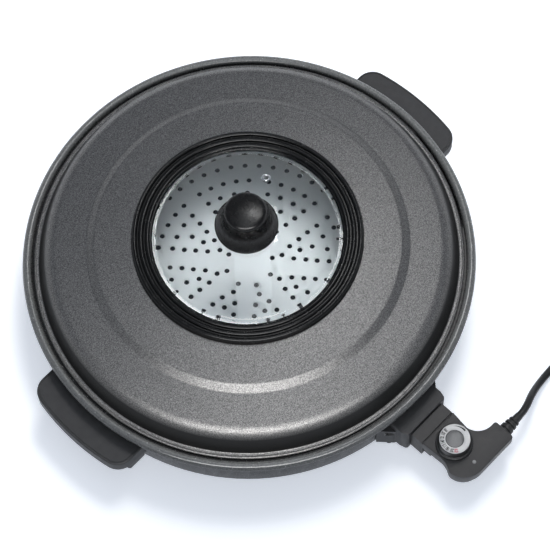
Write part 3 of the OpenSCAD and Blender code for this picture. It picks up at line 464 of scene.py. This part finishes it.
def tube(path, radius, count=16):
    """Rings of points round a path: each lies across the line between its neighbours."""
    along = unit(np.gradient(path, axis=0))
    side = unit(np.cross(along, [0, 0, 1.0]))
    over = np.cross(side, along)
    angle = np.linspace(0, 2 * np.pi, count, endpoint=False)[None, :, None]
    return path[:, None] + radius * (side[:, None] * np.cos(angle) + over[:, None] * np.sin(angle))


lead_path = np.concatenate([through(LEAD)[:-1], coil()[:-1], through(TAIL)])
vinyl = plastic("black vinyl", 32, roughness=0.42, grain=900)
lead = piece("mains_lead", [skin(tube(lead_path, CABLE_R), caps=(True, True))], vinyl,
             "cord_lead", ["cord_lead", "cord_coil", "cord_tail"])

# %% [markdown]
# ## Plug and strain relief
# Both are moulded in vinyl straight onto the lead. The plug, for a round earthed socket, has
# a tapered boot, a waist for the fingers and a thick disc with flats for the earth clips. The
# relief has grooves between its ribs: they let it bend, so that the lead never kinks there.
# Grooves could be a bump in the finish, but these stand out against the light, so they are
# cut into the profile.

# %% Plug and strain relief
moulded_vinyl = plastic("moulded vinyl", 36, roughness=0.5, grain=1800)
plug_line = rounded([(0, 3.55), (0, 4.9, 0.4), (3, 5.1), (3.6, 4.5), (4.4, 4.5), (5, 5.3),
                     (8, 5.6), (8.6, 5.0), (9.4, 5.0), (10, 5.9), (13, 6.2), (15.8, 6.6),
                     (16.2, 9, 1), (24, 16.5, 4), (33.5, 16.5, 3), (37, 18.5, 1.5),
                     (54, 18.5, 1.2), (54, 0)], steps=4)
CLIP_FLAT = 17.1
plug_grid = along_x(plug_line, plug_at)
plug_grid[..., 2] = np.clip(plug_grid[..., 2], plug_at[2] - CLIP_FLAT, plug_at[2] + CLIP_FLAT)
plug = piece("moulded_plug", [skin(plug_grid)], moulded_vinyl, "plug_body", sharp=35)

relief_line = rounded([(-27, 5), (-22.8, 5.4), (-19.4, 5.4), (-19.1, 6.5, 0.4), (-15.4, 6.3, 0.4),
                       (-15.1, 4.6), (-13.6, 4.5), (-13.3, 6.0, 0.4), (-10.6, 5.8, 0.4),
                       (-10.3, 4.3), (-8.8, 4.2), (-8.5, 5.3, 0.3), (-6.6, 5.1, 0.3), (-6.3, 4.1),
                       (0, 3.8, 0.2), (0, 3.4), (-27, 3.4)], steps=3)
piece("relief", [skin(along_x(relief_line, exit_at, 40), loop=True)], moulded_vinyl,
      "strain_relief")

# %% [markdown]
# ## Metal lid
# The lid is one sheet of aluminium, a millimetre and a half thick, spun over a form: a steep
# side, a round shoulder, a gently rising crown with one embossed step, and a flat seat round
# the opening. Its edge is rolled outwards to a bead, so that it is stiff and not sharp. A
# Solidify modifier would thicken a spun skin. Here the wall is drawn: the outside's profile,
# and the inside following it at the sheet's thickness, so the edge's roll meets both.

# %% Metal lid's shape
EDGE_R = 1.6
SHEET = 1.5
LID_CORNERS = [(-0.2, 1.2), (-3.4, 1.2, 1.5), (-12.5, 23.85, 17), (-49.9, 30.17, 6),
               (-56.7, 34.9, 6), (-91.8, 40.4, 14), (-101.8, 40.4)]
lid_low, lid_high = span("lid_shell")
edge_at = np.array([lid_high[0] - EDGE_R, lid_low[2] + EDGE_R])


def thickened(line, thickness):
    """A closed profile: a line, and its copy moved to the left of its way by a thickness."""
    along = unit(np.gradient(line, axis=0))
    side = np.stack([-along[:, 1], along[:, 0]], -1)
    return np.concatenate([line, (line + thickness * side)[::-1]])


lid_line = rounded([(edge_at[0] + a, edge_at[1] + b, *r) for a, b, *r in LID_CORNERS], steps=12)
edge_line = arc(edge_at, EDGE_R, 0, 337.5, 15)
print("lid rises", round(lid_line[-1, 1] - edge_at[1], 1), "mm above its edge")

# %% [markdown]
# The lid's hammered enamel beads up as it dries: pale domes about a millimetre wide stand
# among dark rings, and each dome catches its own spot of light. Cells give the domes, and a
# slower noise makes some of them run together. Both are worked out in space, so they don't
# stretch over the crown as a picture wrapped round it would. Between the rolled edge and the
# shoulder the steep side is painted dark grey by height: painted shade, since these lamps
# alone leave that side too pale. How a real lid is sprayed there isn't known.

# %% Hammered enamel
# Heights where the painted shade on the lid's steep side ends, at the edge and at the shoulder.
EDGE_FADE, SHOULDER_FADE = (63.2 * MM, 64.2 * MM), (78.5 * MM, 85 * MM)
WARM = (1, 0.98, 0.955)
hammered = Finish("hammered enamel", Metallic=1.0)
domes = hammered.cells(1300)
run = hammered.noise(800, 3)
paint = (domes + run * 0.8).between(0.4, 1.1)
height = hammered.node("ShaderNodeSeparateXYZ", {}, {0: hammered.place}, 2)
# Painted shade: 1 on the crown and the rolled edge, which keep the enamel, 0 on the steep side,
# which turns dark grey(48).
outside_painted_shade = height.between(*SHOULDER_FADE) + (1 - height.between(*EDGE_FADE))
enamel = hammered.mix(paint, grey(170, WARM), grey(103, WARM))
hammered.set(Base_Color=hammered.mix(outside_painted_shade, grey(48), enamel), Roughness=run * 0.1 + 0.4,
             Normal=hammered.bump(domes * -1 + run * 0.5, 0.07))
piece("metal_lid", [skin(turned(thickened(lid_line, SHEET)), loop=True),
                    skin(turned(edge_line), loop=True)], hammered, "lid_shell", sharp=30)

# %% [markdown]
# ## Glass
# A disc of toughened glass, four millimetres thick, is sagged over a form to a shallow dome
# with a flat rim. A flattened ball would thin out towards its rim, so both faces are true arcs
# about one centre. Their radius follows from the dome's half chord and its rise:
# (chord^2 + rise^2) / (2 rise). Toughening leaves the surface very slightly wavy.

# %% Glass
GLASS, RIM_W, KNOB_HOLE = 4.0, 8, 3.0
glass_low, glass_high = span("glass_disc")
dome_edge, rim_z = glass_high[0] - RIM_W, glass_low[2] + GLASS
dome_rise = span("knob_seal")[0][2] - rim_z
dome_r = (dome_edge ** 2 + dome_rise ** 2) / (2 * dome_rise)
dome_z = rim_z + dome_rise - dome_r
over = np.linspace(KNOB_HOLE, dome_edge, 40)
under = np.linspace(dome_edge - 1, KNOB_HOLE, 40)
glass_line = np.concatenate([
    np.stack([over, dome_z + np.sqrt(dome_r ** 2 - over ** 2)], -1),
    rounded([(dome_edge + 1, rim_z), (glass_high[0], rim_z, 1.2),
             (glass_high[0], glass_low[2], 1.2), (dome_edge, glass_low[2])], steps=4),
    np.stack([under, dome_z + np.sqrt((dome_r - GLASS) ** 2 - under ** 2)], -1)])
clear = Finish("clear glass", Base_Color=(0.93, 0.97, 0.98), IOR=1.5, Transmission_Weight=1.0)
sag = clear.noise(12, 1)
clear.set(Roughness=sag.between(0.4, 0.8) * 0.02, Normal=clear.bump(sag, 0.05))
piece("glass_dome", [skin(turned(glass_line), loop=True)], clear, "glass_disc", sharp=50)
print(f"dome radius {dome_r:.1f} mm")

# %% [markdown]
# ## Silicone ring
# The glass rim sits in a black silicone ring whose spigot drops into the metal lid's opening.
# It is pressed in one piece and stretched over the glass. Three round ridges run along its
# top; each one catches a thin line of light. Three rings laid on top would leave seams, so
# the ridges are arcs of the one profile.

# %% Silicone ring
RIDGE_R, FIRST_RIDGE, RIDGE_PITCH = 2.4, 91, 6
ring_low, ring_high = span("silicone_ring")
ridge_z = ring_high[2] - RIDGE_R
ring_base = span("lid_shell")[1][2] + 0.3
spigot = lid_line[-1, 0] - 0.4
ridges = [arc((FIRST_RIDGE + k * RIDGE_PITCH, ridge_z), RIDGE_R, 180, 0, 10) for k in range(3)]
rim_r = glass_high[0]
ring_line = np.concatenate([
    [(rim_r - 5.2, rim_z + 0.1), (rim_r - 4.7, ridge_z - 0.4), (rim_r - 3.8, ridge_z)], *ridges,
    rounded([(ring_high[0] - 0.7, ridge_z - 0.8), (ring_high[0], ring_base + 0.8, 1),
             (ring_high[0] - 0.2, ring_base, 0.3), (spigot, ring_base),
             (spigot, ring_low[2], 0.6), (rim_r - 4, ring_low[2], 0.6),
             (rim_r - 4, glass_low[2] - 0.1), (rim_r + 0.1, glass_low[2] - 0.1),
             (rim_r + 0.1, rim_z + 0.1)], steps=4)])
silicone = plastic("black silicone", 8, roughness=0.24, grain=700, Specular_IOR_Level=0.3)
piece("ridged_seal", [skin(turned(ring_line), loop=True)], silicone, "silicone_ring")

# %% [markdown]
# ## Lid knob
# Phenolic, pressed in a two-part mould: a wide flange that keeps fingers off the hot glass, a
# hollow flank that a hand can hook, and a softly domed cap. A subdivided cylinder could be
# pulled to this shape. A formula draws the flank with one number to tune: its radius falls
# from the flange to the cap as (1 - height) to a power.

# %% Lid knob
CAP_R, CAP_SOFT, CAP_CROWN = 19.75, 5, 1.75
FLANK_RISE, FLANK_FALL = 17.8, 2.2
knob_low, knob_high = span("knob")
flange, foot_z, cap_z = knob_high[0], knob_low[2], knob_high[2]
climb = np.linspace(0.04, 1, 18)
flank = np.stack([CAP_R + (flange - 0.8 - CAP_R) * (1 - climb) ** FLANK_FALL,
                  foot_z + 3.2 + FLANK_RISE * climb], -1)
middle = np.linspace(14, 0, 10)
knob_line = np.concatenate([
    rounded([(0, foot_z), (9, foot_z, 0.4), (9, foot_z + 6.5, 1), (21.8, foot_z + 2.8, 2),
             (flange - 1.2, foot_z + 0.6, 0.5), (flange, foot_z + 0.6, 0.5),
             (flange, foot_z + 2.7, 0.6), (flange - 0.7, foot_z + 2.9)], steps=4),
    flank, arc((CAP_R - CAP_SOFT, cap_z - 1.5 - CAP_SOFT), CAP_SOFT, 0, 74, 12),
    np.stack([middle, cap_z - CAP_CROWN * (middle / 16) ** 2], -1)])
bakelite = plastic("brown-black phenolic", 15, (1, 0.92, 0.88), roughness=0.27, grain=1500,
                   relief=0.03, Specular_IOR_Level=0.36)
piece("lid_knob", [skin(turned(knob_line, 128))], bakelite, "knob", sharp=35)

# %% [markdown]
# ## Vent eyelet
# A bright tube is flared over both faces of the glass to line the steam hole. It stands square
# to the dome, on the line from the dome's centre. The object could be turned to stand so, but
# its mesh must keep its place, so a frame of three axes is built on that line and the spun
# profile is laid into it.

# %% Vent eyelet
dome_centre = np.array([0, 0, dome_z])
axis = unit(sum(span("vent_eyelet")) / 2 - dome_centre)
across = unit(np.cross([0, 0, 1.0], axis))
eye_line = rounded([(2.2, -4.9), (3.0, -4.9), (3.0, 0), (4.3, 0.05, 0.2), (4.1, 0.8, 0.3),
                    (3.0, 1.1, 0.4), (2.2, 0.7, 0.3)], closed=True, steps=4)
eye_grid = turned(eye_line, 48) + [0, 0, dome_r]
eye_grid = eye_grid @ np.array([across, np.cross(axis, across), axis]) + dome_centre
chrome = metal("bright steel", grey(228), 0.18)
piece("eyelet", [skin(eye_grid, loop=True)], chrome, "vent_eyelet")

# %% [markdown]
# ## Handles
# Each handle is a phenolic tray turned upside down: a flat top, a short skirt all round and
# two legs that carry the pan. The plan is concentric with the pan and its two outer corners
# are arcs. A fine groove follows the edge, and the top edge is softened, which is kind to a
# hand and lets the moulding leave its tool. Cutting the tray and groove out of a block with
# booleans would leave ragged edges, so the plan is drawn in level by level instead.

# %% Handle plan
CORNER_R = 17
LEG_W, LEG_RISE = 18, 41
grip_low, grip_high = span("right_handle")
REACH, HALF = grip_high[0], grip_high[1]
WALL = np.hypot(grip_low[0], HALF)
corner_at = np.array([np.sqrt((REACH - CORNER_R) ** 2 - (HALF - CORNER_R) ** 2), HALF - CORNER_R])


def handle_plan(inset, inner=0.0):
    """Plan of a handle drawn in by an inset: two corner arcs, an outer arc concentric with the
    pan, and an inner arc along the pan's wall (moved out by inner)."""
    turn = np.degrees(np.arctan2(corner_at[1], corner_at[0]))
    y = np.linspace(inset - HALF, HALF - inset, 25)
    upper = arc(corner_at, CORNER_R - inset, 90, turn, 12)
    return np.concatenate([np.stack([np.sqrt((WALL + inner) ** 2 - y ** 2), y], -1), upper,
                           arc((0, 0), REACH - inset, turn, -turn, 16)[1:-1],
                           (upper * [1, -1])[::-1]])


def leg(side):
    """A leg of a handle: a block with rounded outer corners and a softened foot."""
    near, away = LEG_MID - LEG_W / 2, LEG_MID + LEG_W / 2
    plan = rounded([(np.sqrt(WALL ** 2 - near ** 2), side * near), (LEG_X, side * near, 3),
                    (LEG_X, side * away, 3), (np.sqrt(WALL ** 2 - away ** 2), side * away)][::side],
                   closed=True)
    levels = [(1.2, 0), (0.35, 0.3), (0, 1.2), (0, LEG_RISE)]
    return skin(drawn_in(plan, [(i, grip_low[2] + z) for i, z in levels]), caps=(True, True))


foot_high = span("handle_feet")[1]
LEG_X, LEG_MID = foot_high[0] + 1, foot_high[1] - 5.25
print("handle: reach", REACH, "mm, corner centre at", np.round(corner_at, 2))

# %% Handles
levels = ([(4.4, -3.2, 3), (3.4, -4, 3), (3.1, -13.4, 3), (2.5, -14, 2.5), (0.5, -14, 0),
           (0, -13.5, 0)] + [(i, z, 0) for i, z in soft_edge(1.1, 0)]
          + [(1.75, 0, 0), (1.85, -0.55, 0), (2.5, -0.55, 0), (2.6, 0, 0)])
tray = np.stack([np.pad(handle_plan(i, inner), ((0, 0), (0, 1)), constant_values=grip_high[2] + z)
                 for i, z, inner in levels])
phenolic = plastic("charcoal phenolic", 60, (0.98, 0.98, 1.02), roughness=0.5,
                   Specular_IOR_Level=0.3)
for name, node, turn in (("grip_right", "right_handle", 1), ("grip_left", "left_handle", -1)):
    skins = [skin(tray, caps=(True, True)), leg(1), leg(-1)]
    skins = [(points * [turn, turn, 1], faces) for points, faces in skins]
    piece(name, skins, phenolic, node, sharp=38)

# %% [markdown]
# ## Thermostat housing
# Two moulded shells meet at a seam halfway up. The top shell carries the dial and the lamp.
# Its plan is straight beside the neck, hollow on the near side for the fingers, and grows an
# arm where the lead comes out. Blocks joined by booleans would show where they meet; one
# outline of arcs, carried up like any moulding, has no seams. The lower shell tapers, so it
# stays in the top one's shadow.

# %% Thermostat housing
ARM_HALF = 10
HOLLOW_R, TAIL_R, BACK_R = 17, 21, 26
shell_low, shell_high = span("housing_top")
NECK = span("plug_neck")[1][0]
NEAR_Y, END_Y, ARM_X, ARM_Y = shell_high[1], shell_low[1], shell_high[0], exit_at[1] + ARM_HALF
housing_plan = np.concatenate([
    [(NECK, NEAR_Y)], arc((NECK + 14.6, ARM_Y + HOLLOW_R), HOLLOW_R, 188, 268, 14),
    rounded([(NECK + 15, ARM_Y), (ARM_X, ARM_Y, 2.5), (ARM_X, END_Y, 2.5),
             (ARM_X - 6, END_Y)])[1:-1],
    arc((-3.5, END_Y + TAIL_R), TAIL_R, -90, -176, 16),
    arc((-NECK - 25, NEAR_Y - 20.5), BACK_R, -22, 0, 6), [(-NECK, NEAR_Y)]])
deep = shell_high[2] - shell_low[2]
top_levels = [(0.5, -deep), (0.5, 0.8 - deep), (0.1, 0.8 - deep), (0, 1 - deep)] + soft_edge(1, 0)
top_levels = [(inset, shell_high[2] + z) for inset, z in top_levels]
housing = plastic("grey-black moulding", 62, (1, 0.97, 0.98), roughness=0.46, relief=0.06,
                  Specular_IOR_Level=0.3)
piece("top_shell", [skin(drawn_in(housing_plan, top_levels), caps=(True, True))], housing,
      "housing_top", sharp=38)

# %% [markdown]
# ## Dial and lamp
# The dial is a black cup moulded round a steel spindle: a thin skirt to grip, a tapered hub,
# and a silver ring set into its top. The ring could be a band of colour on the cup, but a
# piece of its own has a crisp, slightly sunk edge. Beside the dial a small frosted lens shows
# when the heat is on.

# %% Dial and lamp
DIAL_R, RING_IN, RING_OUT, DISC_R = 17, 8.4, 14.1, 7.9
INK = 0.05
LENS_R = 1.8
dial_low, dial_high = span("dial_knob")
dial_at = (dial_low + dial_high) / 2 * [1, 1, 0]
FACE_Z = span("dial_face")[1][2]
foot = dial_low[2]
dial_line = rounded([(0, foot), (DIAL_R - 0.4, foot), (DIAL_R, foot + 0.4, 0.3),
                     (DIAL_R, foot + 3, 0.7), (15.2, foot + 3.2, 0.6), (14.75, FACE_Z - 0.6, 0.5),
                     (14.2, FACE_Z - 0.1), (RING_OUT - 0.1, FACE_Z - 0.5), (RING_IN, FACE_Z - 0.5),
                     (RING_IN - 0.2, FACE_Z - 0.1, 0.2), (0, FACE_Z - 0.1)], steps=4)
black = plastic("black moulding", 30, roughness=0.38, grain=2600, relief=0.04)
piece("dial", [skin(turned(dial_line, 96) + dial_at)], black, "dial_knob", sharp=30)
face_line = rounded([(RING_IN, -0.7), (RING_IN, -INK, 0.1), (RING_OUT, -INK, 0.15),
                     (RING_OUT, -0.7)], steps=3)
silver = metal("silver print", grey(168), 0.45, 900)
face_grid = turned(face_line, 96) + dial_at + [0, 0, FACE_Z]
piece("dial_ring", [skin(face_grid, loop=True)], silver, "dial_face", sharp=30)
disc_line = rounded([(0, FACE_Z - 0.2), (DISC_R, FACE_Z - 0.2), (DISC_R, FACE_Z - INK, 0.05),
                     (0, FACE_Z - INK)], steps=2)
dull = metal("grey print", grey(120), 0.5, 900)
piece("dial_disc", [skin(turned(disc_line, 96) + dial_at)], dull, "dial_face", replaces=())
lens_low, lens_high = span("indicator_lens")
lens_at = (lens_low + lens_high) / 2 * [1, 1, 0] + [0, 0, lens_high[2]]
lens_line = rounded([(0, -1.5), (LENS_R, -1.5), (LENS_R, 0, 0.4), (0, 0.2)], steps=4)
frosted = plastic("frosted lens", 132, roughness=0.3, Coat_Weight=0.5)
piece("lens", [skin(turned(lens_line, 32) + lens_at)], frosted, "indicator_lens")

# %% [markdown]
# ## Print on the dial
# A printer's pad lays the scale on the silver ring: temperatures in steps of 20 with their
# tops outwards, the hottest in red, and a wedge that swells in the turning direction. Each
# number is set as text, made into a mesh a few hundredths of a millimetre thick, and laid
# along the ring: across the text goes along the circle, up the text goes along the radius.
# Printed shapes stay sharp from any distance, which a picture on the ring would not.

# %% Print on the dial
NUMBERS = ["80", "100", "120", "140", "160", "180", "200", "220"]
FIRST, STEP = 88.0, 20.0
NUMBER_R, NUMBER_H = 11.2, 2.9
NARROW, TALL, BOLD = 0.75, 1.7, 0.1
WEDGE_R, WEDGE_FROM, WEDGE_TO = 12.2, 46, -8


def number(text, direction):
    """A number as a skin: its glyphs stand on the dial's ring at a direction in degrees."""
    curve = bpy.data.curves.new(text, "FONT")
    curve.body, curve.align_x, curve.align_y = text, "CENTER", "CENTER"
    curve.size, curve.extrude, curve.offset = NUMBER_H, INK / 2, BOLD
    holder = bpy.data.objects.new(text, curve)
    flat = bpy.data.meshes.new_from_object(holder)
    bpy.data.objects.remove(holder)
    glyphs = np.empty(3 * len(flat.vertices))
    flat.vertices.foreach_get("co", glyphs)
    along, outward, height = (glyphs.reshape(-1, 3) * [NARROW, TALL, 1]).T
    turn = np.radians(direction) - along / NUMBER_R
    reach = NUMBER_R + outward
    points = np.stack([reach * np.cos(turn), reach * np.sin(turn),
                       FACE_Z - INK + height + INK / 2], -1)
    return points + dial_at, [list(face.vertices) for face in flat.polygons]


numbers = [number(text, FIRST + STEP * k) for k, text in enumerate(NUMBERS)]
sweep = np.radians(np.linspace(WEDGE_FROM, WEDGE_TO, 24))
half = np.linspace(0.1, 0.8, 24)
band = WEDGE_R + half[:, None] * [-1, 1, 1, -1]
level = FACE_Z - INK + np.array([0, 0, INK, INK])
wedge = np.stack([band * np.cos(sweep[:, None]), band * np.sin(sweep[:, None]),
                  np.broadcast_to(level, band.shape)], -1) + dial_at
ink = plastic("black ink", 8, roughness=0.6)
red_ink = plastic("red ink", 170, (1, 0.1, 0.16), roughness=0.6)
piece("dial_print", [*numbers[:-1], skin(wedge, caps=(True, True))], ink, "dial_face", replaces=())
piece("dial_print_red", numbers[-1:], red_ink, "dial_face", replaces=())

# %% [markdown]
# ## Stone-look coat
# The pan is cast, then sprayed with a grey non-stick coat that carries paler grains. Noise
# alone would give clouds, not grains. Cells place them; only the cells with a large random
# colour show one, so that they lie sparsely and differ in size. A fine noise gives the coat
# its tooth. A real pan may well wear one even coat, but here the colour changes with height:
# the rim's crest keeps the pale coat as a painted highlight, and the flank and walls below it
# are painted shade, near black. The crest is also glossier, and its grains show more.

# %% Stone-look coat
CREST_FADE = (60 * MM, 64 * MM)
GREENISH = (0.985, 1.01, 0.995)
stone = Finish("stone coat", Specular_IOR_Level=0.2, Coat_Roughness=0.22)
spread = stone.cells(420)
pick = stone.node("ShaderNodeSeparateColor", {}, {0: stone.cells(420, output=1)})
grains = (pick * 0.26 - spread).between(0.0, 0.1)
speckle = stone.noise(600, 4).between(0.35, 0.65)
coat = stone.mix(speckle, grey(98, GREENISH), grey(112, GREENISH))
# Painted highlight and painted shade by height: above 64 mm the pale coat and more gloss, below 60
# mm dark grey(24).
crest_gloss_and_painted_light = stone.node("ShaderNodeSeparateXYZ", {}, {0: stone.place}, 2).between(*CREST_FADE)
coat = stone.mix(crest_gloss_and_painted_light, grey(24), coat)
stone.set(Base_Color=stone.mix(grains * (crest_gloss_and_painted_light * 0.4 + 0.6), coat, grey(160)),
          Coat_Weight=crest_gloss_and_painted_light, Roughness=speckle * 0.1 + 0.24,
          Normal=stone.bump(stone.noise(900), 0.03))

# %% [markdown]
# ## Other finishes
# The hidden parts wear the plain finishes of their trades: dull sheathing on the element,
# brushed sheet for the steam plate, fired steatite, blackened screws, brass in the socket.
# Each could have a shader of its own, but one line of `plastic` or `metal` tells them apart.

# %% Other finishes
steel = metal("dull steel", grey(165), 0.36)
zinc = metal("blackened steel", grey(95), 0.38, 500)
sheet = metal("brushed aluminium", grey(243), 0.54, 90, (1, 14, 1)).set(Metallic=0.55)
brass = metal("brass", (0.72, 0.5, 0.2), 0.28)
bimetal = metal("bimetal", (0.45, 0.4, 0.3), 0.35, 400, (8, 1, 1))
ceramic = plastic("steatite", 222, (1, 0.97, 0.9), roughness=0.6)
rubber = plastic("foot rubber", 28, roughness=0.7)
nylon = plastic("natural nylon", 212, (1, 0.99, 0.96), roughness=0.5)
lamp = plastic("lamp glass", 200, (1, 0.55, 0.35), roughness=0.12, relief=0.01)
FINISHES = {"stone_coat": stone, "element_steel": steel, "ceramic": ceramic, "bright_steel": chrome,
            "handle_plastic": phenolic, "screw_steel": zinc, "foot_rubber": rubber,
            "plate_aluminium": sheet, "silicone": silicone, "brass_parts": brass,
            "housing_plastic": housing, "bimetal": bimetal, "lamp_glass": lamp,
            "clamp_nylon": nylon, "tie_nylon": moulded_vinyl}
print(len(bpy.data.materials), "materials")

# %% [markdown]
# ## Pieces kept from the model
# The pan, the plate and the inner parts already have their true shape, so drawing them again
# would gain nothing. Each is copied, its doubled points are merged and the inner edges of its
# flat parts cleared. Moulded parts also get a fine bevel, since no tool leaves a knife edge.

# %% Pieces kept from the model
BEVELS = {"socket_guard": 0.3, "plug_neck": 0.6, "housing_bottom": 0.3}


def refine(node, finish, bevel=0.0, smooth=30):
    """A copy of a node that stands for it, cleaned and bevelled by a width in mm."""
    made = frame["nodes"][node].copy()
    made.data = made.data.copy()
    made.name, made.parent = node + "_fine", None
    for key in list(made.keys()):
        del made[key]
    bpy.context.scene.collection.objects.link(made)
    work = bmesh.new()
    work.from_mesh(made.data)
    bmesh.ops.remove_doubles(work, verts=work.verts, dist=2e-6)
    bmesh.ops.dissolve_limit(work, angle_limit=np.radians(0.5), verts=work.verts, edges=work.edges)
    work.to_mesh(made.data)
    work.free()
    made.data.shade_smooth()
    made.data.set_sharp_from_angle(angle=np.radians(smooth))
    if bevel:
        edge = made.modifiers.new("bevel", "BEVEL")
        edge.width, edge.segments, edge.limit_method = bevel * MM, 2, "ANGLE"
        edge.angle_limit = np.radians(smooth)
    made.data.materials.clear()
    made.data.materials.append(finish.material)
    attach(made, BODY_OF[node])
    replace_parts(made, node)
    return made


replaced = {node for shown in bpy.data.objects for node in shown.get("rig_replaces", [])}
kept = [node for node in BODY_OF if node not in replaced]
for node in kept:
    refine(node, FINISHES[SLOT_OF[node]], BEVELS.get(node, 0), 25 if node == "pan_body" else 30)
print(len(kept), "pieces kept from the model")

# %% [markdown]
# ## Floor
# A sheet of white paper. It reflects nearly all its light, and a glow, seen only by the camera,
# in reflections and through the glass, lifts it to clean white where no shadow falls. Brighter
# lamps would do that too, but they would bleach the skillet. The glow is a little blue, which
# tints the shadows.

# %% Floor
FLOOR = 30.0
white_paper = bpy.data.materials.new("white paper")
white_paper.use_nodes = True
sheet_nodes = Nodes(white_paper.node_tree)
rays = [sheet_nodes.node("ShaderNodeLightPath", output=kind)
        for kind in ("Is Camera Ray", "Is Glossy Ray", "Is Transmission Ray")]
looked_at = sum(rays[1:], rays[0]).between(0, 1)
paper = sheet_nodes.node("ShaderNodeBsdfDiffuse", {}, {"Color": (0.86, 0.87, 0.88)})
glow = sheet_nodes.node("ShaderNodeEmission", {}, {"Color": (0.92, 0.97, 1.06), "Strength": 0.5})
lifted = sheet_nodes.node("ShaderNodeAddShader", {}, {0: paper, 1: glow})
seen = sheet_nodes.node("ShaderNodeMixShader", {}, {0: looked_at, 1: paper, 2: lifted})
sheet_nodes.node("ShaderNodeOutputMaterial", {}, {0: seen})
floor_mesh = bpy.data.meshes.new("floor")
floor_mesh.from_pydata([(-FLOOR, -FLOOR, 0), (FLOOR, -FLOOR, 0), (FLOOR, FLOOR, 0),
                        (-FLOOR, FLOOR, 0)], [], [(0, 1, 2, 3)])
floor_mesh.materials.append(white_paper)
floor = bpy.data.objects.new("floor", floor_mesh)
bpy.context.scene.collection.objects.link(floor)
print("floor:", 2 * FLOOR, "m square")

# %% [markdown]
# ## Light
# A long softbox hangs overhead and gives the soft sheen on level faces. A small lamp on its
# right brightens the lid's near right side, and a card in front draws the bright lines along
# the lid's near edges. The key stands behind, so that shadows fall short and towards the
# front. The room is dim and bluish, and pale at the horizon. A picture of a studio could light
# the skillet at one stroke; separate lamps can each be tuned to one feature. Together they add
# up to about one, so a colour renders about as it is written.

# %% Light
far, side = np.array([0.690, 0.724, 0]), np.array([0.724, -0.690, 0])
top = np.array([0, 0, 1.0])
DIM_BLUE, PALE = (0.2, 0.225, 0.27), (0.97, 0.99, 1.0)


def area_light(name, at, size, watts, colour=(1, 1, 1)):
    """A rectangular lamp at a place in metres, facing the skillet, its second side along the
    view."""
    data = bpy.data.lights.new(name, "AREA")
    data.shape, data.size, data.size_y = "RECTANGLE", *size
    data.energy, data.color = watts, colour
    made = bpy.data.objects.new(name, data)
    away = unit(at)
    wide = unit(np.cross(far, away))
    turn = Matrix([wide, np.cross(away, wide), away]).transposed().to_4x4()
    made.matrix_world = Matrix.Translation(Vector(at)) @ turn
    bpy.context.scene.collection.objects.link(made)
    return made


area_light("softbox", 0.08 * side - 0.3 * far + 2.5 * top, (0.95, 2.9), watts=9.5,
           colour=(0.94, 0.97, 1))
card = area_light("card", -1.5 * far + 1.75 * top, (2.0, 0.6), watts=44)
card.visible_diffuse = False
area_light("right lamp", 0.52 * side + 0.9 * far + 2.6 * top, (0.5, 0.5), watts=12)
key = area_light("key", 0.4 * side + 1.5 * far + 2.6 * top, (0.9, 0.9), watts=36,
                 colour=(1, 0.98, 0.95))
key.visible_glossy = False

world = bpy.data.worlds.new("room")
bpy.context.scene.world = world
world.use_nodes = True
room = Nodes(world.node_tree)
sky = room.node("ShaderNodeTexCoord", output="Generated")
rise = room.node("ShaderNodeSeparateXYZ", {}, {0: sky}, 2)
haze = (1 - rise.between(0, 1)).math("POWER", 6)
air = room.node("ShaderNodeBackground", {},
                {"Color": room.mix(haze, DIM_BLUE, PALE), "Strength": 1.0})
room.node("ShaderNodeOutputWorld", {}, {0: air})
bpy.context.scene.view_settings.view_transform = "Standard"
